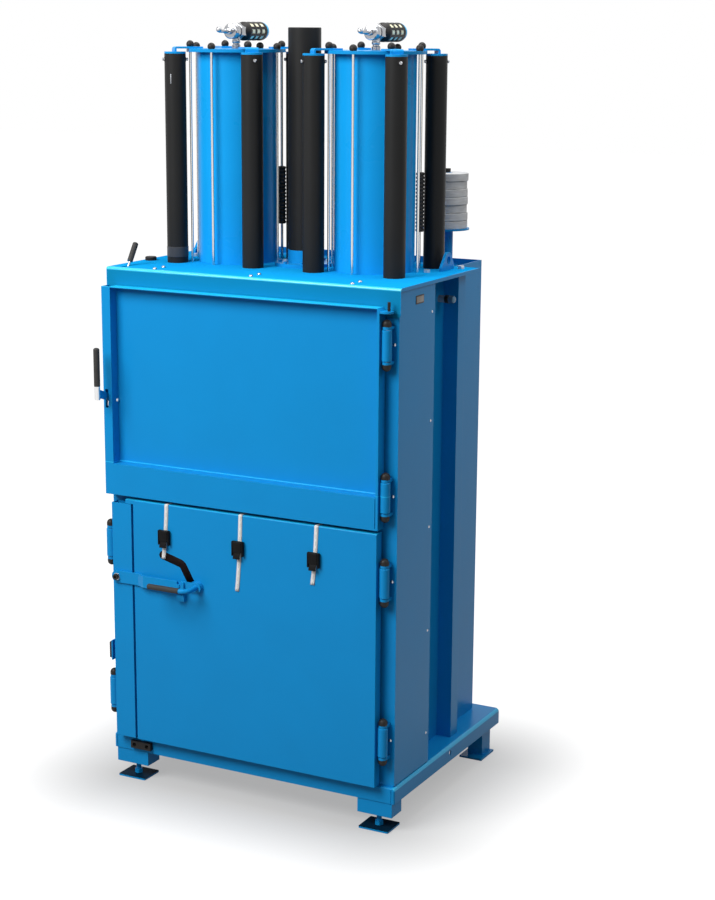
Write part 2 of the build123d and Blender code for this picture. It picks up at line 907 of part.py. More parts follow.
def rail_box(wall_x):
    """Bottom rail of the upper door, open underneath, with a slit at its right end."""
    x1 = upper_right - lip_width
    top = upper_bottom + rail_height
    rail = block(wall_x, x1, door_front, panel_front, upper_bottom, top)
    rail -= block(wall_x + door_sheet, x1, door_front + door_sheet, panel_front, upper_bottom, top - door_sheet)
    slit_z = upper_bottom + door_sheet * 2
    rail -= block(x1 - rail_slit, x1, door_front, door_front + rail_slit_depth, slit_z, top - door_sheet)
    ledge = block(wall_x, x1, panel_front - rail_ledge, panel_front, top, top + rail_ledge)
    return rail + ledge


def interlock_blade():
    """Bow-shaped blade at the top of the upper door's hinge side."""
    radius = -hinge_y + front_y - blade_clear
    top = upper_top - blade_below_top
    bow = upright(right_hinge_x, hinge_y, top - blade_thick, top, radius)
    bow += block(upper_right, right_hinge_x, hinge_y - radius, hinge_y, top - blade_thick, top)
    pin_x = right_hinge_x + interlock_pin_out
    return bow - upright(pin_x, hinge_y, top - blade_thick, top, interlock_pin_radius + slip)


def interlock_pin():
    """Black pin that stands through the blade."""
    top = upper_top - blade_below_top
    pin_x = right_hinge_x + interlock_pin_out
    pin = upright(pin_x, hinge_y, top - blade_thick - interlock_pin_below, top + interlock_pin_above,
                  interlock_pin_radius)
    return chamfer(pin.edges(), interlock_pin_chamfer)


def door_lever():
    """Blade, tube, hook and pivot of the upper door's catch lever."""
    pivot_y = front_y - lever_pivot_depth
    tube_y = front_y - lever_stand
    half = lever_plate / 2
    tube_top = lever_tube_bottom + lever_tube_height
    slot_top = lever_slot_bottom + lever_slot_height
    outline = make_face(Polyline(
        (pivot_y + lever_root_back, lever_pivot_z + lever_root_top),
        (door_front - lever_neck_stand, slot_top - lever_neck_drop),
        (tube_y, tube_top - lever_toe_drop),
        (tube_y, lever_tube_bottom + lever_heel_rise),
        (door_front, lever_pivot_z + lever_throat_rise),
        (pivot_y - lever_root_front, lever_pivot_z - lever_root_bottom),
        close=True))
    blade = Pos(lever_x - half, 0, 0) * extrude(Plane.YZ * outline, lever_plate)
    boss = across(lever_x - half, lever_x + half, pivot_y, lever_pivot_z, lever_boss_radius)
    tube = upright(lever_x, tube_y, lever_tube_bottom, tube_top, lever_tube_radius)
    core = upright(lever_x, tube_y, tube_top, tube_top + lever_grip_length - lever_grip_end, lever_core_radius)
    dome_x = upper_left + stile_width
    pin = across(upper_left, dome_x, pivot_y, lever_pivot_z, lever_pin_radius)
    knob = dome(lever_dome_radius, lever_dome_height, lever_dome_skirt)
    knob = Pos(dome_x, pivot_y, lever_pivot_z) * Rot(0, 90, 0) * knob
    return blade + boss + tube + core + pin + knob + lever_hook(pivot_y)


def lever_hook(pivot_y):
    """Curved hook under the lever's boss, seen through the slot."""
    hook_z = lever_pivot_z - lever_boss_radius
    half = lever_plate / 2
    ring = across(lever_x - half, lever_x + half, pivot_y - hook_ahead, hook_z, hook_radius)
    ring -= across(lever_x - half, lever_x + half, pivot_y + hook_bore_back, hook_z - hook_bore_drop, hook_bore)
    keep = block(lever_x - half, lever_x + half, door_front + door_sheet + hook_sheet_gap,
                 pivot_y + hook_bore_back, lever_slot_bottom - hook_overhang, lever_pivot_z)
    return ring & keep


def door_lever_grip():
    """Rubber sleeve on the lever's tube."""
    tube_y = front_y - lever_stand
    z0 = lever_tube_bottom + lever_tube_height
    grip = upright(lever_x, tube_y, z0, z0 + lever_grip_length, lever_grip_radius)
    grip = fillet(grip.edges().group_by(Axis.Z)[-1], lever_grip_round)
    bore_top = z0 + lever_grip_length - lever_grip_end + seat_gap
    return grip - upright(lever_x, tube_y, z0, bore_top, lever_core_radius + slip)


def lower_door():
    """Hollow pressed door, open underneath, with its knuckles, boss, stop and top tab."""
    outer = block(lower_left, lower_right, door_front, lower_inside, lower_bottom, lower_top)
    outer = fillet(outer.edges().filter_by(Axis.X).group_by(Axis.Z)[-1].sort_by(Axis.Y)[0], lower_bend)
    inner = block(lower_left + lower_wall, lower_right - lower_wall, door_front + lower_wall,
                  lower_inside - lower_wall, lower_bottom, lower_top - lower_wall)
    door = outer - inner
    door += block(lower_left - tab_length, lower_left + lower_wall, door_front, door_front + tab_depth,
                  lower_top - tab_height, lower_top)
    for z in lower_hinges:
        z0 = z - barrel_length / 2
        z1 = z + barrel_length / 2
        door += block(lower_right - lower_wall, right_hinge_x, hinge_y - lower_wall, hinge_y + lower_wall, z0, z1)
        door -= upright(right_hinge_x, hinge_y, z0, z1, barrel_radius)
        door += hinge_barrel(right_hinge_x, z)
    door += endwise(handle_x, crank_back, door_front, handle_z, handle_boss_radius)
    door -= endwise(handle_x, crank_back, door_front + lower_wall, handle_z, handle_shaft_radius + slip)
    return door + block(stop_x - stop_width / 2, stop_x + stop_width / 2, door_front - stop_depth, door_front,
                        stop_z - stop_height / 2, stop_z + stop_height / 2)


def latch_post():
    """Hollow post on the left, with its knuckles and the bolt's hole."""
    post = block(latch_left, latch_right, door_front, lower_inside, latch_bottom, latch_top)
    post -= block(latch_left + latch_wall, latch_right - latch_wall, door_front + latch_wall,
                  lower_inside - latch_wall, latch_bottom, latch_top)
    for z in post_hinges:
        web = block(left_hinge_x, latch_left, hinge_y - latch_wall, hinge_y + latch_wall,
                    z - barrel_length / 2, z + barrel_length / 2)
        web -= upright(left_hinge_x, hinge_y, z - barrel_length / 2, z + barrel_length / 2, barrel_radius)
        post += web + hinge_barrel(left_hinge_x, z)
    return post - endwise(bolt_x, door_front, door_front + latch_wall, bar_z, bolt_radius + bolt_hole_clear)


def latch_bar():
    """Joggled bar from the bolt to the crank, notched for the crank's pin."""
    round_end = bolt_x - bar_height / 2
    outline = Plane.XY * make_face(Polyline(
        (round_end, bar_back), (round_end, bar_front), (joggle_start, bar_front),
        (joggle_end, bar_out_front), (bar_end_x, bar_out_front), (bar_end_x, bar_out_back),
        (joggle_end + joggle_skew, bar_out_back), (joggle_start + joggle_skew, bar_back), close=True))
    bar = Pos(0, 0, bar_z - bar_height / 2) * extrude(outline, bar_height)
    left_end = bar.edges().filter_by(Axis.Y).group_by(Axis.X)[0]
    bar = fillet(left_end, bar_round_left)
    right_end = bar.edges().filter_by(Axis.Y).group_by(Axis.X)[-1]
    bar = fillet(right_end, bar_round_right)
    bar -= endwise(bolt_x, bar_front, bar_back, bar_z, bolt_radius + slip)
    return bar - crank_notch()


def crank_notch():
    """Open slot in the bar's end: round at the pin, wider towards the top."""
    radius = crank_pin_radius + crank_pin_clear
    top = bar_z + bar_height / 2
    seat = endwise(crank_pin_x, bar_out_front, bar_out_back, handle_z, radius)
    flare = Plane.XZ.offset(-bar_out_back) * make_face(Polyline(
        (crank_pin_x - radius, handle_z), (crank_pin_x - radius, top),
        (crank_pin_x + radius + notch_widening, top), (crank_pin_x + radius, handle_z), close=True))
    return seat + extrude(flare, bar_thick)


def latch_bolt():
    """Socket-head bolt in its washer, standing through the bar into the post."""
    head = Rot(90, 0, 0) * (Cylinder(bolt_head_radius, bolt_head_height, align=(Align.CENTER, Align.CENTER, Align.MIN))
                            - Pos(0, 0, bolt_head_height - bolt_socket_depth)
                            * hexagon(bolt_socket_flats, bolt_socket_depth))
    washer = endwise(bolt_x, bar_front - bolt_washer_thick, bar_front, bar_z, bolt_washer_radius)
    shank = endwise(bolt_x, bar_front, door_front + bolt_reach, bar_z, bolt_radius)
    return Pos(bolt_x, bar_front - bolt_washer_thick, bar_z) * head + washer + shank


def latch_handle():
    """Crank with its pin, pivot shaft and the bent rod that carries the grip."""
    crank_front = bar_out_back + crank_gap
    neck = crank_neck / 2
    plate = endwise(handle_x, crank_front, crank_back, handle_z, crank_width / 2)
    plate += endwise(crank_pin_x, crank_front, crank_back, handle_z, neck)
    plate += block(crank_pin_x, handle_x, crank_front, crank_back, handle_z - neck, handle_z + neck)
    pin = endwise(crank_pin_x, bar_out_front - crank_pin_proud, crank_front, handle_z, crank_pin_radius)
    shaft = endwise(handle_x, crank_back, door_front + lower_wall, handle_z, handle_shaft_radius)
    reach_y = door_front - handle_reach
    path = FilletPolyline((handle_x, crank_front, handle_z), (handle_x, reach_y, handle_z),
                          (handle_x - grip_start, reach_y, handle_z), radius=handle_bend)
    rod = sweep(Plane((handle_x, crank_front, handle_z), z_dir=(0, -1, 0)) * Circle(handle_rod_radius), path=path)
    core_end = handle_x - grip_start - grip_length + grip_end
    core = across(core_end, handle_x - grip_start, reach_y, handle_z, grip_core_radius)
    return plate + pin + shaft + rod + core


def latch_grip():
    """Rubber sleeve on the latch handle."""
    x1 = handle_x - grip_start
    x0 = x1 - grip_length
    y = door_front - handle_reach
    grip = across(x0, x1, y, handle_z, grip_radius)
    grip = fillet(grip.edges().group_by(Axis.X)[0], grip_round)
    return grip - across(x0 + grip_end - seat_gap, x1, y, handle_z, grip_core_radius + slip)


def lashing_strap(index):
    """Strap from inside, over the lower door's top edge and down its front."""
    x = strap_x[index]
    x0 = x - strap_width / 2
    x1 = x + strap_width / 2
    front = block(x0, x1, door_front - strap_thick, door_front, strap_end_z[index], lower_top + strap_thick)
    over = block(x0, x1, door_front, lower_inside, lower_top, lower_top + strap_thick)
    inner = block(x0, x1, lower_inside, lower_inside + strap_thick, lower_top - strap_inner,
                  lower_top + strap_thick)
    return front + over + inner


def buckle(index):
    """Cam buckle on a strap: a body with a hinged lip along its lower edge."""
    x = strap_x[index]
    half = buckle_width / 2
    back = door_front - strap_thick
    z0 = buckle_z - buckle_height / 2
    body = block(x - half, x + half, back - buckle_depth, back, z0 + buckle_lip, z0 + buckle_height)
    body = fillet(body.edges().filter_by(Axis.X).group_by(Axis.Y)[0], buckle_corner)
    lip_half = half - buckle_lip_inset
    lip_front = back - buckle_depth - buckle_lip_proud
    lip = block(x - lip_half, x + lip_half, lip_front, lip_front + buckle_lip_proud + buckle_lip_thick,
                z0, z0 + buckle_lip + buckle_lip_rise)
    tongue_half = half - buckle_tongue_inset
    tongue = block(x - tongue_half, x + tongue_half, back - buckle_lip_thick, back,
                   z0 + buckle_lip_rise, z0 + buckle_lip)
    return body + lip + tongue


def guide_block():
    """Block on the base's front with two counterbored holes."""
    y1 = base_front
    y0 = y1 - guide_depth
    z = guide_z + guide_height / 2
    guide = block(guide_x, guide_x + guide_length, y0, y1, guide_z, guide_z + guide_height)
    guide = fillet(guide.edges().filter_by(Axis.Z).group_by(Axis.Y)[0], guide_round)
    for x in (guide_x + guide_hole_inset, guide_x + guide_length - guide_hole_inset):
        guide -= endwise(x, y0, y1, z, guide_hole_radius)
        guide -= endwise(x, y0, y0 + guide_sink_depth, z, guide_sink_radius)
    return guide


def rubber_buffer():
    """Rubber pad on the bracket at the left edge."""
    y0 = post_front - bracket_reach + buffer_edge
    half = buffer_height / 2
    pad = block(-post_outer - buffer_thick, -post_outer, y0, y0 + buffer_depth, buffer_z - half, buffer_z + half)
    return fillet(pad.edges().group_by(Axis.X)[0], buffer_round)


def stub_coupling():
    """Air coupling on the right wall: sleeve, ring and closing cap."""
    y = front_y + coupling_y
    x1 = chamber_half + coupling_sleeve
    x2 = x1 + coupling_ring
    body = across(chamber_half, x1, y, coupling_z, coupling_radius)
    body += across(x1, x2, y, coupling_z, coupling_ring_radius)
    cap = across(x2, x2 + coupling_cap, y, coupling_z, coupling_cap_radius)
    return body + fillet(cap.edges().group_by(Axis.X)[-1], coupling_cap_round)


def cylinder(side):
    """Cylinder tube with its gland plate."""
    x = side * cylinder_offset
    tube = upright(x, cylinder_mid, hood_top, tube_top, tube_radius)
    tube -= upright(x, cylinder_mid, hood_top + gland_height, tube_top, tube_bore)
    return tube - upright(x, cylinder_mid, hood_top, hood_top + gland_height, piston_rod_radius + piston_clear)


def cylinder_head(side):
    """Head disc with four bent straps that hold the spring tubes down."""
    x = side * cylinder_offset
    head = upright(x, cylinder_mid, head_bottom, head_top, head_radius)
    for angle in ear_angles:
        head += Pos(x, cylinder_mid, 0) * Rot(0, 0, angle) * ear()
    for i in range(tie_rod_count):
        rod_x, rod_y = polar(x, cylinder_mid, tie_circle_radius, i * 360.0 / tie_rod_count)
        head -= upright(rod_x, rod_y, head_bottom, head_top + ear_thick, tie_rod_radius + tie_hole_clear)
    return head


def ear():
    """One strap along +X from the cylinder's axis, bent down onto the cap of a spring tube."""
    outer = spring_circle_radius + ear_over
    half = ear_width / 2
    cap_top = spring_top + ear_thick
    strap = block(ear_start, outer, -half, half, cap_top, head_top + ear_thick)
    strap = fillet(strap.edges().filter_by(Axis.Y).group_by(Axis.Z)[-1].sort_by(Axis.X)[-1], ear_bend)
    strap -= block(ear_start, outer - ear_thick, -half, half, cap_top, head_top)
    return strap + upright(spring_circle_radius, 0, spring_top, cap_top, spring_radius)


def tie_rods():
    """Eight rods round each cylinder, from the hood to the top of the head."""
    rods = []
    for side in (-1, 1):
        for i in range(tie_rod_count):
            angle = i * 360.0 / tie_rod_count
            x, y = polar(side * cylinder_offset, cylinder_mid, tie_circle_radius, angle)
            top = head_top + (ear_thick if angle in ear_angles else 0.0)
            rods.append(upright(x, y, hood_top, top, tie_rod_radius))
    return group(rods)


def dome_nuts():
    """Cap nut on every tie rod."""
    nuts = []
    for side in (-1, 1):
        for i in range(tie_rod_count):
            angle = i * 360.0 / tie_rod_count
            x, y = polar(side * cylinder_offset, cylinder_mid, tie_circle_radius, angle)
            seat = head_top + (ear_thick if angle in ear_angles else 0.0)
            nuts.append(Pos(x, y, seat) * dome(nut_radius, nut_height, nut_skirt))
    return group(nuts)


def spring_tube(side, index):
    """Tube that houses a return spring, closed at its top and crossed by a bolt."""
    angle = ear_angles[index]
    tube = upright(0, 0, hood_top, spring_top, spring_radius)
    tube -= upright(0, 0, hood_top, spring_top - spring_wall, spring_radius - spring_wall)
    tube -= across(-spring_radius, spring_radius, 0, spring_top - cross_bolt_below, cross_bolt_radius + slip)
    x, y = polar(side * cylinder_offset, cylinder_mid, spring_circle_radius, angle)
    return Pos(x, y, 0) * Rot(0, 0, angle) * tube


def cross_bolts():
    """Bolt across the top of every spring tube."""
    reach = spring_radius + cross_bolt_overhang
    bolt = across(-reach, reach, 0, spring_top - cross_bolt_below, cross_bolt_radius)
    head = dome(cross_bolt_head_radius, cross_bolt_head, cross_bolt_skirt)
    for turn in (-1, 1):
        bolt += Pos(turn * reach, 0, spring_top - cross_bolt_below) * Rot(0, turn * 90, 0) * head
    bolts = []
    for side in (-1, 1):
        for angle in ear_angles:
            x, y = polar(side * cylinder_offset, cylinder_mid, spring_circle_radius, angle)
            bolts.append(Pos(x, y, 0) * Rot(0, 0, angle) * bolt)
    return group(bolts)


def on_valve_axis(side, shape):
    """A shape drawn along X from the valve's neck, set on one cylinder head."""
    return Pos(side * cylinder_offset, cylinder_mid, head_top + valve_height) * Rot(0, 0, valve_angle) * shape


def exhaust_valve(side):
    """Quick exhaust valve: neck, round body, hexagon, and a spindle with a lobe and a ball."""
    body = across(valve_body_start, valve_body_end, 0, 0, valve_body_radius)
    body = fillet(body.edges().filter_by(GeomType.CIRCLE), valve_body_round)
    valve = body + upright(0, 0, -valve_height, 0, valve_neck_radius)
    valve += across(valve_body_end, 0, 0, 0, valve_seal_radius)
    valve += Rot(0, 90, 0) * hexagon(valve_hex_flats, valve_hex_length)
    valve += across(valve_hex_length, silencer_start, 0, 0, valve_stub_radius)
    valve += across(valve_ball_place, valve_body_start, 0, 0, valve_spindle_radius)
    valve += Pos(valve_lobe_place, 0, 0) * Sphere(valve_lobe_radius)
    valve += Pos(valve_ball_place, 0, valve_ball_rise) * Sphere(valve_ball_radius)
    return on_valve_axis(side, valve)


def silencer(side):
    """Silencer with a tapered shoulder, rows of windows and a rounded cap."""
    full = silencer_start + silencer_shoulder
    end = silencer_start + silencer_length
    shoulder = Pos(silencer_start + silencer_shoulder / 2, 0, 0) * Rot(0, 90, 0) * Cone(
        silencer_neck_radius, silencer_radius, silencer_shoulder)
    body = across(full, end, 0, 0, silencer_radius)
    body = fillet(body.edges().group_by(Axis.X)[-1], silencer_cap_round)
    body += shoulder
    for place in window_places:
        for i in range(silencer_windows):
            pocket = Pos(place, 0, silencer_radius) * Box(window_length, window_width, 2 * window_depth)
            body -= Rot(i * 360.0 / silencer_windows, 0, 0) * pocket
    return on_valve_axis(side, body)


def centre_tube():
    """Black standpipe between the cylinders, closed at its top."""
    z0 = hood_top + flange_thick + collar_height
    tube = upright(0, cylinder_mid, z0, centre_top, centre_radius)
    tube = fillet(tube.edges().group_by(Axis.Z)[-1], centre_round)
    return tube - upright(0, cylinder_mid, z0, centre_top - centre_wall, centre_radius - centre_wall)


def centre_flange():
    """Collar and bolted flange under the centre tube."""
    z1 = hood_top + flange_thick
    flange = upright(0, cylinder_mid, hood_top, z1, flange_radius)
    flange += upright(0, cylinder_mid, z1, z1 + collar_height, collar_radius)
    for i in range(flange_bolts):
        x, y = polar(0, cylinder_mid, flange_radius - flange_bolt_inset, (i + 0.5) * 360.0 / flange_bolts)
        flange += upright(x, y, z1, z1 + flange_bolt_height, flange_bolt_radius)
    return flange - upright(0, cylinder_mid, hood_top, z1 + collar_height, centre_radius - centre_wall)


def dome_bolts():
    """Two rows of domed bolts near the hood's front edge."""
    bolt = dome(dome_bolt_radius, dome_bolt_height, dome_bolt_skirt)
    return group(Pos(x, front_y + y, hood_top) * bolt
                 for y in dome_bolt_rows for x in (-dome_bolt_x, 0.0, dome_bolt_x))


def hex_bolts():
    """Hexagon bolts near each lifting lug."""
    bolt = hexagon(hex_bolt_flats, hex_bolt_height)
    return group(Pos(side * (hood_half - inset), front_y + y, hood_top) * bolt
                 for side in (-1, 1) for inset, y in hex_bolt_insets)


def hood_plug():
    """Round black plug on the hood's left side."""
    plug = upright(plug_x, front_y + plug_y, hood_top, hood_top + plug_height, plug_radius)
    return fillet(plug.edges().group_by(Axis.Z)[-1], plug_round)


def reel_disc():
    """Disc and hub that carry the strap roll, with a knob on top."""
    y = front_y + reel_y
    z1 = reel_disc_z + reel_disc_thick
    top = z1 + roll_height
    disc = upright(reel_x, y, reel_disc_z + seat_gap, z1, reel_disc_radius)
    disc += upright(reel_x, y, z1, top, reel_hub_radius)
    disc += upright(reel_x, y, top, top + reel_knob_height, reel_knob_radius)
    return disc - upright(reel_x, y, reel_disc_z, top, reel_pin_radius + slip)


def strap_roll():
    """Wound strap on the reel's hub."""
    y = front_y + reel_y
    z1 = reel_disc_z + reel_disc_thick
    roll = upright(reel_x, y, z1, z1 + roll_height - seat_gap, roll_radius)
    return roll - upright(reel_x, y, z1, z1 + roll_height, reel_hub_radius + slip)


def press_plate():
    """Press plate drawn up, with the two piston rods that carry it."""
    top = press_bottom + press_height
    plate = block(-press_half, press_half, press_front, press_back, press_bottom, top)
    span = (press_back - press_front - 3 * press_wall) / 2
    cell = (2 * press_half - 3 * press_wall) / 2
    for column in (0, 1):
        for row in (0, 1):
            x0 = -press_half + press_wall + column * (cell + press_wall)
            y0 = press_front + press_wall + row * (span + press_wall)
            plate -= block(x0, x0 + cell, y0, y0 + span, press_bottom + press_floor, top)
    for side in (-1, 1):
        plate += upright(side * cylinder_offset, cylinder_mid, press_bottom + press_floor, top, rod_seat_radius)
    return group([plate, piston(-1), piston(1)])


def piston(side):
    """Rod from the press plate's seat up to its piston."""
    x = side * cylinder_offset
    top = tube_top - piston_below_top
    rod = upright(x, cylinder_mid, press_bottom + press_height, top - piston_thick, piston_rod_radius)
    return rod + upright(x, cylinder_mid, top - piston_thick, top, tube_bore - piston_clear)


def sub_parts():
    """Every sub-part by name."""
    parts = {
        "base_frame": base_frame(),
        "foot_left": front_foot(-1),
        "foot_right": front_foot(1),
        "chamber_shell": chamber_shell(),
        "front_frame": front_frame(),
        "side_cover_left": side_cover(-1),
        "side_cover_right": side_cover(1),
        "side_rivets": side_rivets(),
        "data_plate": data_plate(),
        "hood": hood(),
        "hinge_pins": hinge_pins(),
        "hinge_caps": hinge_caps(),
        "hinge_screws": hinge_screws(),
        "guide_block": guide_block(),
        "rubber_buffer": rubber_buffer(),
        "stub_coupling": stub_coupling(),
        "cylinder_left": cylinder(-1),
        "cylinder_right": cylinder(1),
        "cylinder_head_left": cylinder_head(-1),
        "cylinder_head_right": cylinder_head(1),
        "tie_rods": tie_rods(),
        "dome_nuts": dome_nuts(),
        "cross_bolts": cross_bolts(),
        "exhaust_valve_left": exhaust_valve(-1),
        "exhaust_valve_right": exhaust_valve(1),
        "silencer_left": silencer(-1),
        "silencer_right": silencer(1),
        "centre_tube": centre_tube(),
        "centre_flange": centre_flange(),
        "dome_bolts": dome_bolts(),
        "hex_bolts": hex_bolts(),
        "hood_plug": hood_plug(),
        "control_lever": control_lever(),
        "reel_disc": reel_disc(),
        "strap_roll": strap_roll(),
        "upper_door": upper_door(),
        "interlock_pin": interlock_pin(),
        "door_lever": door_lever(),
        "door_lever_grip": door_lever_grip(),
        "lower_door": lower_door(),
        "latch_handle": latch_handle(),
        "latch_grip": latch_grip(),
        "latch_post": latch_post(),
        "latch_bolt": latch_bolt(),
        "latch_bar": latch_bar(),
        "press_plate": press_plate(),
    }
    for index, place in enumerate(("left", "middle", "right")):
        parts["strap_" + place] = lashing_strap(index)
        parts["buckle_" + place] = buckle(index)
    for index in range(len(ear_angles)):
        parts["spring_tube_left_" + str(index + 1)] = spring_tube(-1, index)
        parts["spring_tube_right_" + str(index + 1)] = spring_tube(1, index)
    return parts


os.makedirs("parts", exist_ok=True)
for name, shape in sub_parts().items():
    export_step(shape, os.path.join("parts", name + ".step"))
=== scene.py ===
"""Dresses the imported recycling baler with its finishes, straps, silencers and reel, and sets the studio.

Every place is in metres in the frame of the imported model: the floor is z = 0, the doors face -Y.
"""

from __future__ import annotations

import logging
import math
from dataclasses import dataclass, replace
from enum import Enum
from functools import cached_property
from typing import Iterable, Sequence

import bmesh
import bpy
from mathutils import Matrix, Vector

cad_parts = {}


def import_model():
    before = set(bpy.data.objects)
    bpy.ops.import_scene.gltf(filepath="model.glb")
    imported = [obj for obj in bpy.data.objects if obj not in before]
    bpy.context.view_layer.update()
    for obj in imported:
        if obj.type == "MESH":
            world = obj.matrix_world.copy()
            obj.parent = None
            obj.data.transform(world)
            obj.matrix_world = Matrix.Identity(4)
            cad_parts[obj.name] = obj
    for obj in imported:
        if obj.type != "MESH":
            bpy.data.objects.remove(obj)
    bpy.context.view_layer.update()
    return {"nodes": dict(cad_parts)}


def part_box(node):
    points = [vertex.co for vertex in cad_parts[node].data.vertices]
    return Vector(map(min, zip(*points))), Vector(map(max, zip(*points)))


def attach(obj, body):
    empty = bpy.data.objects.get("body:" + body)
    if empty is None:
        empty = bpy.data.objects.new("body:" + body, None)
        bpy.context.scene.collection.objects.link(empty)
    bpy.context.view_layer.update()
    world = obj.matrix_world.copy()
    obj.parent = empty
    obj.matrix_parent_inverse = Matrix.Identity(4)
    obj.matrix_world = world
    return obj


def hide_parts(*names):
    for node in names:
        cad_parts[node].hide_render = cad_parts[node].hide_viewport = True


LOG = logging.getLogger("baler")
FRAME_WIDTH = 715
FRAME_HEIGHT = 900
HEAD_THICK = 0.015
VALVE_RISE = 0.052
ROD_CIRCLE = 0.144
SLOPE = 0.7071
LEVER_LEAN = math.radians(33.0)

Colour = tuple[float, float, float]
Place = tuple[float, float, float]
Profile = Sequence[tuple[float, float]]
Socket = bpy.types.NodeSocket


def srgb(*channels: int) -> Colour:
    """Turn an 8-bit screen colour into the linear values that a shader takes.

    Args:
        *channels: Red, green and blue from 0 to 255.

    Returns:
        The linear colour.
    """
    shares = (channel / 255 for channel in channels)
    return tuple(share / 12.92 if share <= 0.04045 else ((share + 0.055) / 1.055) ** 2.4 for share in shares)


class Way(Enum):
    """A direction that a finish changes along."""

    UP = (0, 0, 1)
    DOWN = (0, 0, -1)
    RIGHT = (1, 0, 0)
    LEFT = (-1, 0, 0)
    FRONT = (0, -1, 0)
    FRONT_FOLD = (0, -SLOPE, SLOPE)
    RIGHT_FOLD = (SLOPE, 0, SLOPE)
    LEFT_FOLD = (-SLOPE, 0, SLOPE)
    LEVER = (0, math.sin(LEVER_LEAN), math.cos(LEVER_LEAN))


class Recipe:
    """A node tree under construction for one finish or for the surroundings."""

    def __init__(self, owner: bpy.types.Material | bpy.types.World, output: str = "OutputMaterial") -> None:
        """Start an empty tree.

        Args:
            owner: The material or world that the tree is for.
            output: The output node's type.
        """
        owner.use_nodes = True
        self.owner = owner
        self.tree = owner.node_tree
        self.tree.nodes.clear()
        self.output = self.node(output)

    @cached_property
    def place(self) -> Socket:
        """The object's own coordinates."""
        return self.node("TexCoord").outputs["Object"]

    def node(self, kind: str, values: dict[str | int, object] | None = None,
             **settings: object) -> bpy.types.Node:
        """Add a node and set its inputs and properties.

        Args:
            kind: The node type without its common prefix.
            values: Constants for its inputs.
            **settings: Properties of the node.

        Returns:
            The node.
        """
        made = self.tree.nodes.new("ShaderNode" + kind)
        for key, value in settings.items():
            setattr(made, key, value)
        for key, value in (values or {}).items():
            made.inputs[key].default_value = value
        return made

    def link(self, source: Socket, target: Socket) -> None:
        """Join two sockets."""
        self.tree.links.new(source, target)

    def math(self, operation: str, left: object, right: object) -> Socket:
        """Work out one value from two.

        Args:
            operation: The operation's name.
            left: A socket or a number.
            right: A socket or a number.

        Returns:
            The result's socket.
        """
        made = self.node("Math", operation=operation)
        for index, value in enumerate((left, right)):
            if isinstance(value, (int, float)):
                made.inputs[index].default_value = value
            else:
                self.link(value, made.inputs[index])
        return made.outputs[0]

    def noise(self, scale: float, detail: float = 3.0, stretch: Place = (1, 1, 1)) -> Socket:
        """Add noise over the object's own coordinates.

        Args:
            scale: Cells per metre.
            detail: Octaves.
            stretch: Scale along each axis.

        Returns:
            The noise value's socket.
        """
        mapping = self.node("Mapping", {"Scale": stretch})
        self.link(self.place, mapping.inputs["Vector"])
        made = self.node("TexNoise", {"Scale": scale, "Detail": detail})
        self.link(mapping.outputs[0], made.inputs["Vector"])
        return made.outputs["Fac"]

    def ramp(self, value: Socket, stops: Sequence[tuple[float, Colour]]) -> Socket:
        """Colour a value.

        Args:
            value: The socket to colour.
            stops: Places from 0 to 1 with their colours.

        Returns:
            The colour's socket.
        """
        made = self.node("ValToRGB")
        elements = made.color_ramp.elements
        while len(elements) < len(stops):
            elements.new(0.5)
        for element, (place, colour) in zip(elements, stops):
            element.position = place
            element.color = (*colour, 1.0)
        self.link(value, made.inputs["Fac"])
        return made.outputs["Color"]

    def spread(self, value: Socket, low: float, high: float) -> Socket:
        """Map a 0 to 1 value to a range."""
        made = self.node("MapRange", {"To Min": low, "To Max": high})
        self.link(value, made.inputs["Value"])
        return made.outputs["Result"]

    def finish(self, shader: Socket) -> bpy.types.Material | bpy.types.World:
        """Join the last shader to the output and return the tree's owner."""
        self.link(shader, self.output.inputs["Surface"])
        return self.owner


@dataclass(frozen=True)
class Surface:
    """Base of every finish."""

    name: str

    def shader(self, recipe: Recipe) -> Socket:
        """Add this finish to a recipe.

        Args:
            recipe: The node tree to add it to.

        Returns:
            The shader's socket.
        """
        raise NotImplementedError

    def make(self) -> bpy.types.Material:
        """Build the material once and return it."""
        made = bpy.data.materials.get(self.name)
        if made is None:
            recipe = Recipe(bpy.data.materials.new(self.name))
            made = recipe.finish(self.shader(recipe))
        return made


@dataclass(frozen=True)
class Finish(Surface):
    """A coated, plated or moulded surface."""

    colour: Colour
    roughness: float = 0.4
    metallic: float = 0.0
    specular: float = 0.3
    tone: float = 0.05
    tone_scale: float = 6.0
    grain: float = 0.00002
    grain_scale: float = 700.0
    edge: float = 0.0012
    rough_spread: float = 0.05
    stretch: Place = (1, 1, 1)

    def shader(self, recipe: Recipe) -> Socket:
        """Add an uneven tone, a fine grain and rounded edges."""
        surface = recipe.node("BsdfPrincipled", {
            "Metallic": self.metallic, "Specular IOR Level": self.specular})
        low = tuple(max(0, c * (1 - self.tone)) for c in self.colour)
        high = tuple(min(1.0, c * (1 + self.tone)) for c in self.colour)
        tone = recipe.noise(self.tone_scale, 4.0, self.stretch)
        recipe.link(recipe.ramp(tone, [(0.3, low), (0.7, high)]), surface.inputs["Base Color"])
        rough = recipe.spread(tone, self.roughness - self.rough_spread, self.roughness + self.rough_spread)
        recipe.link(rough, surface.inputs["Roughness"])
        bump = recipe.node("Bump", {"Strength": 1.0, "Distance": self.grain})
        recipe.link(recipe.noise(self.grain_scale, 2.0, self.stretch), bump.inputs["Height"])
        if self.edge > 0:
            bevel = recipe.node("Bevel", {"Radius": self.edge}, samples=4)
            recipe.link(bevel.outputs["Normal"], bump.inputs["Normal"])
        recipe.link(bump.outputs["Normal"], surface.inputs["Normal"])
        return surface.outputs["BSDF"]


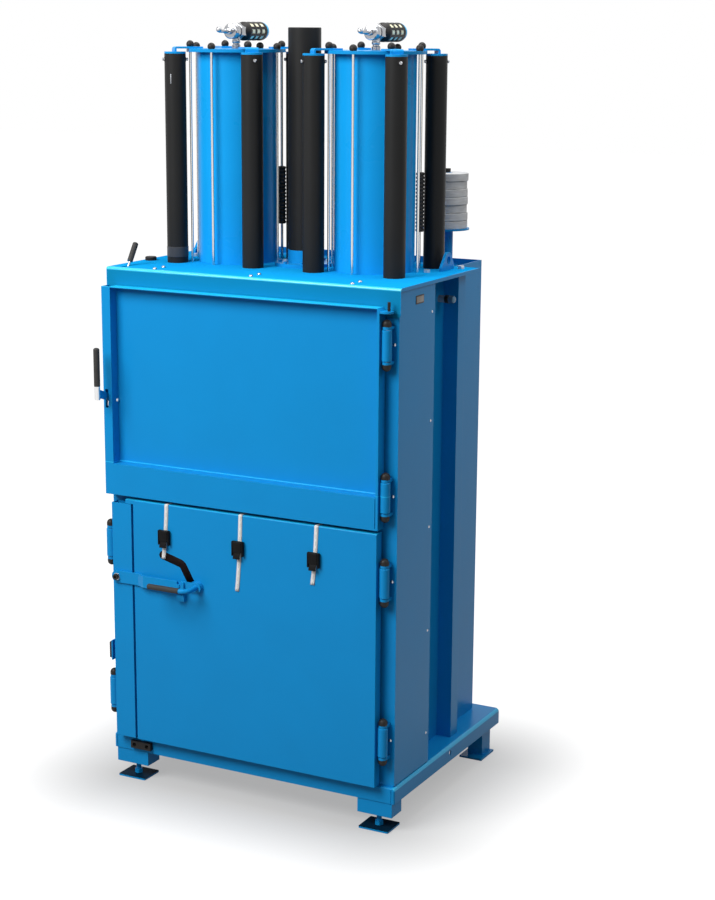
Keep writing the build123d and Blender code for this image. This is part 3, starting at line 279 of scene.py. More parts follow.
@dataclass(frozen=True)
class SplitFinish(Surface):
    """Finishes on one piece, parted by planes in the object's coordinates.

    Each layer is a finish with its planes, and each plane is a direction with a low and perhaps a high offset:
    the layer lies where the point's offset along the direction is between them, for any of its planes.
    """

    base: Finish
    layers: tuple[tuple[Finish, tuple[tuple[Way | float, ...], ...]], ...]

    def shader(self, recipe: Recipe) -> Socket:
        """Lay each layer's finish over those before it."""
        shader = self.base.shader(recipe)
        for finish, planes in self.layers:
            share = None
            for way, low, *high in planes:
                dot = recipe.node("VectorMath", {1: way.value}, operation="DOT_PRODUCT")
                recipe.link(recipe.place, dot.inputs[0])
                offset = dot.outputs["Value"]
                above = recipe.math("GREATER_THAN", offset, low)
                for limit in high:
                    above = recipe.math("MULTIPLY", above, recipe.math("LESS_THAN", offset, limit))
                share = above if share is None else recipe.math("MAXIMUM", share, above)
            mix = recipe.node("MixShader")
            recipe.link(share, mix.inputs["Fac"])
            recipe.link(shader, mix.inputs[1])
            recipe.link(finish.shader(recipe), mix.inputs[2])
            shader = mix.outputs[0]
        return shader


@dataclass(frozen=True)
class WebbingFinish(Surface):
    """Woven strap: fine ribs across its width and a thread line down its middle."""

    light: Colour
    dark: Colour
    rib_pitch: float = 0.0016
    rib_height: float = 0.0003
    dash_pitch: float = 0.021
    dash_start: float = -0.35
    thread_half: float = 0.07
    hem_start: float = 0.44
    line_share: float = 0.45
    wear: float = 0.12
    wear_scale: float = 90.0

    def shader(self, recipe: Recipe) -> Socket:
        """Add the ribs, the dashed thread line, the hems and the wear."""
        surface = recipe.node("BsdfPrincipled", {"Roughness": 0.75, "Sheen Weight": 0.25})
        coords = recipe.node("SeparateXYZ")
        uv = recipe.node("UVMap", uv_map="UVMap")
        recipe.link(uv.outputs[0], coords.inputs[0])

        def wave(pitch: float) -> Socket:
            """Add a sine wave along the strap."""
            return recipe.math("SINE", recipe.math("MULTIPLY", coords.outputs["Y"], 2 * math.pi / pitch), 0)

        ribs = wave(self.rib_pitch)
        across = recipe.math("ABSOLUTE", recipe.math("SUBTRACT", coords.outputs["X"], 0.5), 0)
        thread = recipe.math("LESS_THAN", across, self.thread_half)
        dash = recipe.math("GREATER_THAN", wave(self.dash_pitch), self.dash_start)
        mark = recipe.math("MULTIPLY", thread, dash)
        lines = recipe.math("MAXIMUM", mark, recipe.math("GREATER_THAN", across, self.hem_start))
        worn = recipe.math("MULTIPLY", recipe.noise(self.wear_scale), self.wear)
        shade = recipe.math("ADD", recipe.math("MULTIPLY", lines, self.line_share), worn)
        recipe.link(recipe.ramp(shade, [(0.1, self.light), (0.9, self.dark)]), surface.inputs["Base Color"])
        bump = recipe.node("Bump", {"Distance": self.rib_height, "Strength": 0.6})
        recipe.link(ribs, bump.inputs["Height"])
        recipe.link(bump.outputs["Normal"], surface.inputs["Normal"])
        return surface.outputs["BSDF"]


EVEN = {"tone": 0.02, "rough_spread": 0.03}
BLUE = Finish("blue_powder_coat", srgb(20, 145, 213), roughness=0.3, specular=0.1, **EVEN)
# Darker, glossless copy of the blue coat: painted shade on the hood's front and flanks.
HOOD_SHADED_BLUE = Finish("blue_coat_painted_hood_shade", srgb(18, 134, 182), roughness=0.55, specular=0.0, **EVEN)
# Lighter copy of the same coat: painted light on the hood's up-facing top sheet.
HOOD_TOP_PAINTED_LIGHT = Finish("blue_coat_painted_top_light", srgb(18, 157, 226), roughness=0.55, specular=0.0, **EVEN)
# Near-black blue: painted shade on the top of each foot plate.
FOOT_PAINTED_SHADE = Finish("painted_foot_shade", srgb(4, 34, 54), roughness=0.55, specular=0.03)
# Lighter, glossier copy of the coat: painted highlight along the hood's front fold.
FOLD_HIGHLIGHT_BLUE = Finish("painted_fold_highlight", srgb(36, 196, 236), roughness=0.26, specular=0.6, **EVEN)
# Lighter blue: the silencer caps' own colour, and a painted highlight on the door tops, the rail ledge and the
# base's bent edges.
CAP_AND_HIGHLIGHT_BLUE = Finish("blue_cap_and_painted_highlight", srgb(24, 186, 240), roughness=0.35, specular=0.4, **EVEN)
CYLINDER_BLUE = Finish("blue_cylinder_coat", srgb(20, 158, 230), roughness=0.28, specular=0.1, **EVEN)
BLACK_COAT = Finish("black_tube_coat", srgb(32, 32, 32), roughness=0.45, specular=0.13, tone=0.06,
                    rough_spread=0.06)
CHROME = Finish("chrome_plate", (0.4, 0.41, 0.43), roughness=0.12, metallic=1.0, tone=0.03, rough_spread=0.03,
                grain=0.000002, edge=0.0006)
SATIN = Finish("satin_steel", (0.72, 0.72, 0.72), roughness=0.34, metallic=1.0, tone=0.04, grain=0.000004,
               edge=0.0006)
ZINC = Finish("zinc_plate", (0.6, 0.61, 0.62), roughness=0.3, metallic=1.0, tone=0.1, tone_scale=60.0,
              edge=0.0006)
ROD_STEEL = Finish("ground_rod_steel", (0.74, 0.74, 0.73), roughness=0.18, metallic=1.0, tone=0.04,
                   grain=0.000004, stretch=(8, 8, 0.4), edge=0.0)
RUBBER = Finish("grip_rubber", srgb(58, 57, 56), roughness=0.62, specular=0.2, tone=0.1, grain=0.0001,
                grain_scale=900.0, tone_scale=40.0)
PLASTIC = Finish("moulded_black_plastic", srgb(32, 30, 29), roughness=0.45, specular=0.2, tone=0.08,
                 tone_scale=30.0, grain=0.00004, edge=0.0008)
BUCKLE = replace(PLASTIC, name="buckle_plastic", colour=srgb(19, 19, 20), roughness=0.5, specular=0.08)
INK = Finish("ink_band", srgb(20, 11, 10), roughness=0.55, specular=0.05, tone=0.1, edge=0.0)
BAND_GREY = Finish("band_grey", srgb(62, 63, 66), roughness=0.35, specular=0.2, tone=0.08, edge=0.0)
SLEEVE_GREY = Finish("coupling_sleeve", srgb(150, 152, 156), roughness=0.4, metallic=0.4)
STEEL_BLUE = Finish("coupling_cap", srgb(84, 118, 142), roughness=0.35, metallic=0.3)
CREAM = Finish("silencer_wool", srgb(250, 245, 212), roughness=0.8, tone=0.12, tone_scale=300.0, grain=0.0003,
               edge=0.0)
PLATE_GREY = Finish("bare_plate", srgb(110, 106, 100), roughness=0.4, metallic=0.6, tone=0.06, tone_scale=40.0)
PLATE_RIM = Finish("plate_rim", srgb(30, 22, 20), roughness=0.5, tone=0.05)
ROLL = Finish("wound_strap", srgb(214, 215, 216), roughness=0.7, tone=0.12, tone_scale=25.0, grain=0.0002,
              grain_scale=500.0, stretch=(1, 1, 6))
STRAP = WebbingFinish("lashing_web", srgb(244, 243, 242), srgb(150, 146, 144))


def add_object(name: str, data: bpy.types.ID) -> bpy.types.Object:
    """Put new data in the scene as an object."""
    made = bpy.data.objects.new(name, data)
    bpy.context.scene.collection.objects.link(made)
    return made


class Shape:
    """A mesh under construction that becomes one piece riding on a body."""

    def __init__(self, name: str) -> None:
        """Start an empty shape.

        Args:
            name: The piece's name.
        """
        self.name = name
        self.mesh = bmesh.new()

    def lathe(self, profile: Profile, segments: int, placed: Matrix, slot: int = 0) -> None:
        """Spin a profile round +Z and set it in place.

        Args:
            profile: Points of radius and height, from the bottom to the top.
            segments: Steps in the full turn.
            placed: Where the shape goes.
            slot: Material index of its faces.
        """
        made = bmesh.new()
        verts = [made.verts.new((radius, 0, height)) for radius, height in profile]
        edges = [made.edges.new(pair) for pair in zip(verts, verts[1:])]
        bmesh.ops.spin(made, geom=verts + edges, cent=(0, 0, 0), axis=(0, 0, 1), dvec=(0, 0, 0),
                       angle=2 * math.pi, steps=segments, use_merge=True)
        bmesh.ops.remove_doubles(made, verts=made.verts, dist=1e-6)
        bmesh.ops.recalc_face_normals(made, faces=made.faces)
        self.take(made, placed, slot)

    def box(self, size: Place, placed: Matrix, round_edge: float, slot: int = 0) -> None:
        """Add a box with rounded edges.

        Args:
            size: Its three sizes.
            placed: Where its middle goes.
            round_edge: Radius of its edges.
            slot: Material index of its faces.
        """
        made = bmesh.new()
        bmesh.ops.create_cube(made, size=1.0, matrix=Matrix.Diagonal((*size, 1.0)))
        bmesh.ops.bevel(made, geom=made.edges[:], offset=round_edge, segments=3, affect="EDGES", profile=0.5,
                        material=-1)
        self.take(made, placed, slot)

    def grow(self, edge: bmesh.types.BMEdge) -> bmesh.types.BMEdge:
        """Extrude a strip from an edge and return the strip's new edge."""
        grown = bmesh.ops.extrude_edge_only(self.mesh, edges=[edge])["geom"]
        return next(item for item in grown if isinstance(item, bmesh.types.BMEdge))

    def take(self, other: bmesh.types.BMesh, placed: Matrix, slot: int) -> None:
        """Join another mesh into this one and free it."""
        bmesh.ops.transform(other, matrix=placed, verts=other.verts)
        for face in other.faces:
            face.material_index = slot
        scratch = bpy.data.meshes.new("scratch")
        other.to_mesh(scratch)
        other.free()
        self.mesh.from_mesh(scratch)
        bpy.data.meshes.remove(scratch)

    def place(self, body: str, finishes: Iterable[Surface], slot: str,
              replaces: Sequence[str] = (), sharp: float = 35.0, thick: float = 0.0) -> bpy.types.Object:
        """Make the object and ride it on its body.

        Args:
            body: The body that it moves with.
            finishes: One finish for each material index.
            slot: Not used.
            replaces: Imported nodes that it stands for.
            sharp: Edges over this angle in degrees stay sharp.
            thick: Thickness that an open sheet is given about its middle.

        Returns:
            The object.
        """
        data = bpy.data.meshes.new(self.name)
        self.mesh.to_mesh(data)
        self.mesh.free()
        data.shade_smooth()
        data.set_sharp_from_angle(angle=math.radians(sharp))
        made = add_object(self.name, data)
        for finish in finishes:
            data.materials.append(finish.make())
        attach(made, body)
        if replaces:
            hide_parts(*replaces)
        if thick:
            solid = made.modifiers.new("thickness", "SOLIDIFY")
            solid.thickness = thick
            solid.offset = 0.0
        LOG.info("piece %s on %s", self.name, body)
        return made


def along(start: Place, direction: Place) -> Matrix:
    """Matrix that carries +Z at the origin to a direction at a place."""
    turn = Vector((0, 0, 1)).rotation_difference(Vector(direction))
    return Matrix.Translation(start) @ turn.to_matrix().to_4x4()


def shifted(profile: Profile, radius: float, height: float) -> list[tuple[float, float]]:
    """Move a profile out by a radius and up by a height."""
    return [(radius + out, height + up) for out, up in profile]


def corners(node: str) -> tuple[Vector, Vector, Vector]:
    """Lowest corner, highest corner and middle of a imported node's box."""
    low, high = (Vector(corner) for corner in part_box(node))
    return low, high, (low + high) / 2


@dataclass
class Housing:
    """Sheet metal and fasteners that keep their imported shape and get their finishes."""

    plain: tuple[tuple[Finish, tuple[str, ...]], ...] = (
        (BLUE, ("chamber_shell", "front_frame", "side_cover_left", "side_cover_right", "latch_post",
                "latch_bar", "latch_handle", "cylinder_head_left", "cylinder_head_right", "centre_flange")),
        (CYLINDER_BLUE, ("cylinder_left", "cylinder_right")),
        (BLACK_COAT, ("centre_tube",)),
        (CHROME, ("side_rivets", "hinge_screws", "dome_bolts")),
        (ZINC, ("hinge_pins", "hex_bolts")),
        (PLASTIC, ("hinge_caps", "guide_block", "hood_plug", "interlock_pin")),
        (RUBBER, ("rubber_buffer", "door_lever_grip", "latch_grip")),
        (ROD_STEEL, ("tie_rods",)))
    lever_pivot: Place = (-0.452, -0.285, 1.632)
    lever_stem: float = 0.027
    hood_sheet: tuple[float, float] = (1.6405, 1.6435)
    hood_side: float = 0.498
    # Offset of the hood's front fold that gets the painted highlight.
    hood_highlight_fold: float = 1.3862
    upper_top: float = 1.587
    rail_top: float = 1.042
    lower_top: float = 0.93
    skin: float = 0.0012
    # Offset of the base's bent edges that get the painted highlight.
    base_highlight_fold: float = 0.45
    # Height band of the foot plates' tops that gets painted shade.
    foot_shade_band: tuple[float, float] = (0.0054, 0.0068)
    press_rods: float = 1.6002
    hook_side: float = -0.4623
    hook_top: float = 1.2435
    blade_front: float = 0.374
    lever_tube: float = 0.407
    bolt_front: float = 0.3762
    reel_nut: float = 1.9182
    coupling_ring: float = 0.4432
    coupling_cap: float = 0.4552

    def dress(self, nodes: dict[str, bpy.types.Object]) -> None:
        """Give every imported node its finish.

        Args:
            nodes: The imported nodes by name.
        """
        for finish, names in self.plain:
            for name in names:
                self.paint(nodes[name], finish.make())
        for name, node in nodes.items():
            if name.startswith("spring_tube"):
                self.paint(node, BLACK_COAT.make())
        for name, finish in self.split().items():
            self.paint(nodes[name], finish.make())

    @staticmethod
    def paint(node: bpy.types.Object, material: bpy.types.Material) -> None:
        """Put one material in every slot of a node."""
        if not node.material_slots:
            node.data.materials.append(material)
        for place in node.material_slots:
            place.material = material

    def split(self) -> dict[str, SplitFinish]:
        """Finishes of the nodes that show more than one material."""
        stem_end = Vector(self.lever_pivot).dot(Vector(Way.LEVER.value)) + self.lever_stem
        # Painted shade: the top of each foot plate is near black.
        foot = SplitFinish("foot_painted_shade_finish", BLUE, ((FOOT_PAINTED_SHADE, ((Way.UP, *self.foot_shade_band),)),))
        return {
            # Painted shade: the hood's front and flanks take a darker copy of the coat.
            "hood": SplitFinish("hood_finish", HOOD_SHADED_BLUE, (
                # Painted light: the hood's top sheet takes a lighter copy of the coat.
                (HOOD_TOP_PAINTED_LIGHT, ((Way.UP, *self.hood_sheet),)),
                (BLUE, ((Way.RIGHT, self.hood_side), (Way.LEFT, self.hood_side), (Way.UP, self.hood_sheet[1]))),
                # Painted highlight along the hood's front fold.
                (FOLD_HIGHLIGHT_BLUE, ((Way.FRONT_FOLD, self.hood_highlight_fold),)))),
            # Painted highlight on the upper door's top and on the rail ledge.
            "upper_door": SplitFinish("upper_door_finish", BLUE, ((CAP_AND_HIGHLIGHT_BLUE, (
                (Way.UP, self.upper_top - self.skin),
                (Way.UP, self.rail_top - self.skin, self.rail_top + self.skin))),)),
            # Painted highlight on the lower door's top.
            "lower_door": SplitFinish("lower_door_finish", BLUE, (
                (CAP_AND_HIGHLIGHT_BLUE, ((Way.UP, self.lower_top - self.skin),)),)),
            # Painted highlight on the base's bent edges.
            "base_frame": SplitFinish("base_finish", BLUE, ((CAP_AND_HIGHLIGHT_BLUE, (
                (Way.RIGHT_FOLD, self.base_highlight_fold), (Way.LEFT_FOLD, self.base_highlight_fold))),)),
            "foot_left": foot, "foot_right": foot,
            "press_plate": SplitFinish("press_finish", BLUE, ((ROD_STEEL, ((Way.UP, self.press_rods),)),)),
            "control_lever": SplitFinish("control_lever_finish", CHROME, ((RUBBER, ((Way.LEVER, stem_end),)),)),
            "door_lever": SplitFinish("door_lever_finish", BLUE, (
                (SATIN, ((Way.RIGHT, self.hook_side), (Way.DOWN, -self.hook_top))),
                (BLUE, ((Way.FRONT, self.blade_front),)), (SATIN, ((Way.FRONT, self.lever_tube),)))),
            "latch_bolt": SplitFinish("latch_bolt_finish", CHROME, (
                (PLASTIC, ((Way.FRONT, self.bolt_front),)),)),
            "reel_disc": SplitFinish("reel_disc_finish", BLUE, ((PLASTIC, ((Way.UP, self.reel_nut),)),)),
            "stub_coupling": SplitFinish("stub_coupling_finish", SLEEVE_GREY, (
                (PLASTIC, ((Way.RIGHT, self.coupling_ring),)),
                (STEEL_BLUE, ((Way.RIGHT, self.coupling_cap),)))),
        }


@dataclass
class DataPlate:
    """Bare plate with a dark rim on the right cover."""

    node: str = "data_plate"
    rim: float = 0.0036
    lift: float = 0.0006

    def build(self) -> None:
        """Model the rim and the bare face, and let them stand for the node."""
        low, high, middle = corners(self.node)
        size = high - low
        shape = Shape("name_plate")
        shape.box((size.x, size.y, size.z), Matrix.Translation(middle), 0.0003)
        face = (self.lift, size.y - 2 * self.rim, size.z - 2 * self.rim)
        shape.box(face, Matrix.Translation((high.x + self.lift / 2, middle.y, middle.z)), 0.0002, slot=1)
        shape.place("frame", (PLATE_RIM, PLATE_GREY), "plate_grey", (self.node,))


@dataclass
class Silencer:
    """Silencer with a tapered shoulder, rows of windows in its wall and a coloured cap."""

    side: str
    centre: Place
    start: float = 0.028
    neck: float = 0.02
    shoulder: float = 0.014
    radius: float = 0.0285
    wall_end: float = 0.144
    cap: Profile = ((-0.0007, 0), (-0.0002, 0.0015), (-0.001, 0.006), (-0.004, 0.0152), (-0.0075, 0.016))
    rows: tuple[float, ...] = (0.062, 0.091, 0.121)
    row_length: float = 0.02
    columns: int = 8
    segments: int = 48
    sink: float = 0.0018
    window_rim: float = 0.0006
    soft: float = 0.0008

    def build(self) -> None:
        """Model the body with its sunk windows and the cap."""
        shape = Shape("silencer_body_" + self.side)
        shape.lathe(self.profile(), self.segments, Matrix.Identity(4))
        windows = [face for face in shape.mesh.faces if self.is_window(face)]
        bmesh.ops.inset_region(shape.mesh, faces=windows, thickness=self.window_rim, depth=-self.sink,
                               use_even_offset=True)
        for face in windows:
            face.material_index = 1
        cap = shifted(self.cap, self.radius, self.wall_end)
        shape.lathe([(0, self.wall_end), *cap, (0, cap[-1][1])], self.segments, Matrix.Identity(4), slot=2)
        bmesh.ops.transform(shape.mesh, matrix=along(self.centre, (0, 1, 0)), verts=shape.mesh.verts)
        shape.place("frame", (PLASTIC, CREAM, CAP_AND_HIGHLIGHT_BLUE), "black_plastic", ("silencer_" + self.side,),
                    sharp=30.0)

    def profile(self) -> list[tuple[float, float]]:
        """Radius and height of the wall, with a ring at each end of every row of windows.

        Returns:
            The points from the neck to the cap.
        """
        points = [(0, self.start), (self.neck - self.soft, self.start), (self.neck, self.start + self.soft),
                  (self.radius, self.start + self.shoulder)]
        for row in self.rows:
            points += [(self.radius, row - self.row_length / 2), (self.radius, row + self.row_length / 2)]
        last = self.wall_end - 0.0002
        return points + [(self.radius, self.wall_end - self.soft), (self.radius - self.soft, last), (0, last)]

    def is_window(self, face: bmesh.types.BMFace) -> bool:
        """Tell whether a face of the wall belongs to a window.

        Args:
            face: A face of the spun body.

        Returns:
            True inside a window's row and column.
        """
        middle = face.calc_center_median()
        if abs(face.normal.z) > 0.5 or not any(abs(middle.z - row) < self.row_length / 2 for row in self.rows):
            return False
        pitch = 360.0 / self.columns
        turn = math.degrees(math.atan2(middle.y, middle.x)) % pitch
        return min(turn, pitch - turn) < pitch / 3


@dataclass
class ExhaustValve:
    """Plated quick exhaust valve with its round body, seal, hexagon and spindle."""

    side: str
    centre: Place
    base: float
    body_radius: float = 0.023
    ball: float = 0.0087
    ball_place: float = -0.1
    ball_rise: float = 0.005
    hex_radius: float = 0.0252
    hex_length: float = 0.025
    hex_round: float = 0.0014
    gap: float = 0.0001
    spindle: Profile = (
        (0, -0.1), (0.0042, -0.1), (0.0048, -0.097), (0.0048, -0.0715), (0.0068, -0.068), (0.0074, -0.063),
        (0.0068, -0.058), (0.0048, -0.0545), (0.0048, -0.049), (0.0088, -0.048), (0.0096, -0.0465),
        (0.0096, -0.0395), (0.0086, -0.0375))
    body: Profile = (
        (-0.0045, -0.037), (-0.0012, -0.0362), (0, -0.034), (0, -0.0275), (-0.0012, -0.0262),
        (-0.0012, -0.0222), (0, -0.0209), (0, -0.008), (-0.0012, -0.0058), (-0.0045, -0.005))
    seal: Profile = ((0, -0.005), (0.0184, -0.0048), (0.0192, -0.0036), (0.0192, -0.0014), (0.0184, -0.0002),
                     (0, 0))
    stub: Profile = ((0, 0.025), (0.016, 0.025), (0.016, 0.0278), (0, 0.0278))
    neck: Profile = ((0, 0), (0.0122, 0), (0.013, 0.0008), (0.013, 0.01), (0.0118, 0.0112),
                     (0.0102, 0.0125), (0.0102, 0.0165), (0.0125, 0.0178), (0.0128, 0.019), (0.0128, 0.0245),
                     (0.0118, 0.0258))

    def build(self) -> None:
        """Model the plated pieces along the valve's axis and down to the cylinder head."""
        x, y, z = self.centre
        shape = Shape("valve_body_" + self.side)
        turned = along(self.centre, (0, 1, 0))
        body = shifted(self.body, self.body_radius, 0.0)
        shape.lathe([*self.spindle, *body, (0, body[-1][1])], 48, turned)
        shape.lathe(self.seal, 40, turned, slot=1)
        hexagon = bmesh.new()
        bmesh.ops.create_cone(hexagon, cap_ends=True, segments=6, radius1=self.hex_radius,
                              radius2=self.hex_radius, depth=self.hex_length)
        bmesh.ops.bevel(hexagon, geom=hexagon.edges[:], offset=self.hex_round, segments=2, affect="EDGES",
                        profile=0.5, material=-1)
        shape.take(hexagon, turned @ Matrix.Translation((0, 0, self.hex_length / 2 + self.gap)), 0)
        shape.lathe(self.stub, 40, turned)
        steps = 12
        turns = [math.pi * index / steps for index in range(steps + 1)]
        knob = [(max(0, self.ball * math.sin(turn)), -self.ball * math.cos(turn)) for turn in turns]
        shape.lathe(knob, 24, Matrix.Translation((x, y + self.ball_place, z + self.ball_rise)))
        drop = z - self.base
        neck = [*self.neck, (0.0112, drop - 0.014), (0, drop - 0.01)]
        shape.lathe(neck, 32, Matrix.Translation((x, y, self.base + self.gap)))
        shape.place("frame", (CHROME, RUBBER), "chrome", ("exhaust_valve_" + self.side,), sharp=30.0)


@dataclass
class DomeNuts:
    """Black cap nuts on the tie rods of both cylinder heads."""

    heads: tuple[Place, ...]
    circle: float = ROD_CIRCLE
    count: int = 8
    strap: float = 0.006
    ball: float = 0.0118
    rise: float = 0.0068
    steps: int = 12

    def build(self) -> None:
        """Spin one nut and set a copy on every rod."""
        foot = math.asin(-self.rise / self.ball)
        profile = [(0, 0)]
        for index in range(self.steps + 1):
            turn = foot + (math.pi / 2 - foot) * index / self.steps
            profile.append((max(0, self.ball * math.cos(turn)), self.rise + self.ball * math.sin(turn)))
        shape = Shape("cap_nuts")
        for x, y, head_top in self.heads:
            for index in range(self.count):
                angle = 2 * math.pi * index / self.count
                seat = head_top + (self.strap if index % 2 else 0.0)
                shape.lathe(profile, 28, Matrix.Translation((x + self.circle * math.cos(angle),
                                                             y + self.circle * math.sin(angle), seat)))
        shape.place("frame", (PLASTIC,), "black_plastic", ("dome_nuts",))


@dataclass
class CrossBolts:
    """Bolt through the top of every spring tube: dark washer, thin shank and a bright button."""

    middles: tuple[tuple[float, float], ...]
    circle: float = 0.1912
    tube: float = 0.0325
    height: float = 2.258
    shank: float = 0.0036
    washer: Profile = ((0, -0.001), (0.0066, -0.001), (0.0068, 0.0008), (0.0064, 0.0011), (0, 0.0011))
    button: Profile = ((0.0048, 0.0035), (0.0052, 0.0047), (0.0046, 0.0063), (0.003, 0.0073), (0, 0.0077))

    def build(self) -> None:
        """Spin the washer and the button at both ends of each bolt."""
        washer = shifted(self.washer, 0.0, self.tube)
        button = shifted(self.button, 0.0, self.tube)
        button = [(0, 0), (self.shank, 0), (self.shank, button[0][1]), *button]
        shape = Shape("cross_bolt_set")
        for x, y in self.middles:
            for turn in range(4):
                angle = math.radians(45 + 90 * turn)
                line = Vector((math.cos(angle), math.sin(angle), 0.0))
                spot = Vector((x, y, self.height)) + line * self.circle
                for side in (-1, 1):
                    placed = along(tuple(spot), tuple(line * side))
                    shape.lathe(washer, 24, placed, slot=1)
                    shape.lathe(button, 24, placed)
        shape.place("frame", (CHROME, PLASTIC), "chrome", ("cross_bolts",))


@dataclass
class RibbedSleeve:
    """Ribbed rubber sleeve round one tie rod."""

    name: str
    x: float
    y: float
    bottom: float = 1.752
    height: float = 0.18
    inner: float = 0.0045
    outer: float = 0.013
    ribs: int = 16
    rib: Profile = ((0.84, 0.08), (1.0, 0.35), (1.0, 0.65), (0.84, 0.92))

    def build(self) -> None:
        """Spin the ribbed wall and place it round its rod."""
        pitch = self.height / self.ribs
        profile = [(self.inner, 0)]
        for index in range(self.ribs):
            profile += [(self.outer * share, index * pitch + pitch * rise) for share, rise in self.rib]
        profile += [(self.inner, self.height), (self.inner, 0)]
        shape = Shape(self.name)
        shape.lathe(profile, 24, Matrix.Translation((self.x, self.y, self.bottom)))
        shape.place("frame", (RUBBER,), "black_rubber", sharp=30.0)


@dataclass
class TubeBand:
    """Plain raised band round a spring tube, with a small bright mark higher up."""

    tube: str
    bottom: float = 1.660
    height: float = 0.031
    radius: float = 0.0328
    rise: float = 0.0006
    soft: float = 0.0008
    mark_middle: float = 2.2
    mark_size: Place = (0.0006, 0.0032, 0.029)
    mark_facing: Place = (0.14, -0.99, 0)

    def build(self) -> None:
        """Spin the band and set the mark on the tube's wall."""
        middle = corners(self.tube)[2]
        outer = self.radius + self.rise
        profile = [(self.radius, 0), (outer, self.soft), (outer, self.height - self.soft),
                   (self.radius, self.height), (self.radius, 0)]
        shape = Shape("tube_band")
        shape.lathe(profile, 64, Matrix.Translation((middle.x, middle.y, self.bottom)))
        shape.place("frame", (BAND_GREY,), "black_plastic")
        facing = Vector(self.mark_facing).normalized() * (self.radius + 0.0002)
        mark = Shape("tube_mark")
        turned = Matrix.Rotation(math.atan2(facing.y, facing.x), 4, "Z")
        spot = Matrix.Translation((middle.x + facing.x, middle.y + facing.y, self.mark_middle))
        mark.box(self.mark_size, spot @ turned, 0.0002)
        mark.place("frame", (SLEEVE_GREY,), "zinc")


@dataclass
class StrapReel:
    """Roll of strap on the reel, wound in slightly uneven layers."""

    node: str = "strap_roll"
    bands: int = 7
    core: float = 0.018
    spread: float = 0.0014
    shift: float = 0.0007
    slant: float = 0.012

    def build(self) -> None:
        """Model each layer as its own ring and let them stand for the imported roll."""
        low, high, middle = corners(self.node)
        radius = (high.x - low.x) / 2
        step = (high.z - low.z) / self.bands
        shape = Shape("wound_roll")
        for index in range(self.bands):
            wave = math.sin(index * 2.3) * self.spread
            outer = radius - self.spread + wave
            body = [(self.core, 0), (outer - 0.0012, 0.0003), (outer, 0.0016), (outer, step - 0.0018),
                    (outer - 0.0012, step - 0.0005), (self.core, step - 0.0002), (self.core, 0)]
            lean = Matrix.Rotation(-self.slant * math.sin(math.pi * index / (self.bands - 1)), 4, "Y")
            x = middle.x + math.cos(index * 1.9) * self.shift
            y = middle.y + math.sin(index * 1.3) * self.shift
            shape.lathe(body, 64, Matrix.Translation((x, y, low.z + index * step)) @ lean)
        shape.place("strap_reel", (ROLL,), "webbing", (self.node,))


@dataclass
class CamBuckle:
    """Cam buckle of one strap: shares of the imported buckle's box, then metres and degrees."""

    side: str
    middle: float
    body: Place = (0.74, 0.8, 0.62)
    body_place: Place = (0, -0.06, 0.64)
    cheek: Place = (0.13, 0.94, 0.84)
    cheek_place: Place = (0.43, 0.02, 0.55)
    pin_place: Place = (-0.4, 0, 0.93)
    pin_length: float = 0.8
    lever: tuple[float, float] = (0.56, 0.42)
    lever_place: Place = (-0.04, -0.3, 0.2)
    lip_place: Place = (-0.04, -0.5, 0.035)
    lip_height: float = 0.06
    body_round: float = 0.0022
    body_lean: float = 4.0
    cheek_round: float = 0.0028
    pin_radius: float = 0.003
    lever_thick: float = 0.0026
    lever_round: float = 0.0008
    lever_lean: float = -17.0
    lip_thick: float = 0.0042
    lip_back: float = 0.0022
    lip_round: float = 0.001

    def build(self) -> None:
        """Model the cam body, the side cheeks, the pin and the flipped lever with its lip."""
        low, high, centre = corners("buckle_" + self.side)
        width, depth, height = high - low
        shape = Shape("cam_buckle_" + self.side)

        def size(x: float, y: float, z: float) -> Place:
            """Turn shares of the box into metres."""
            return x * width, y * depth, z * height

        def spot(x: float, y: float, z: float) -> Matrix:
            """Go to a place in shares of the box, from the middle of its foot."""
            return Matrix.Translation((self.middle + x * width, centre.y + y * depth, low.z + z * height))

        shape.box(size(*self.body), spot(*self.body_place) @ self.tilt(self.body_lean), self.body_round)
        x, y, z = self.cheek_place
        for side in (-1, 1):
            shape.box(size(*self.cheek), spot(side * x, y, z), self.cheek_round)
        reach = self.pin_length * width
        shape.lathe([(0, 0), (self.pin_radius, 0), (self.pin_radius, reach), (0, reach)], 16,
                    along(spot(*self.pin_place).translation, (1, 0, 0)))
        wide, tall = self.lever[0] * width, self.lever[1] * height
        lever = spot(*self.lever_place) @ self.tilt(self.lever_lean)
        shape.box((wide, self.lever_thick, tall), lever, self.lever_round)
        lip = spot(*self.lip_place) @ Matrix.Translation((0, self.lip_back, 0))
        shape.box((wide, self.lip_thick, self.lip_height * height), lip, self.lip_round)
        shape.place("lower_door", (BUCKLE,), "black_plastic", ("buckle_" + self.side,))

    @staticmethod
    def tilt(degrees: float) -> Matrix:
        """Turn about the door's width."""
        return Matrix.Rotation(math.radians(degrees), 4, "X")


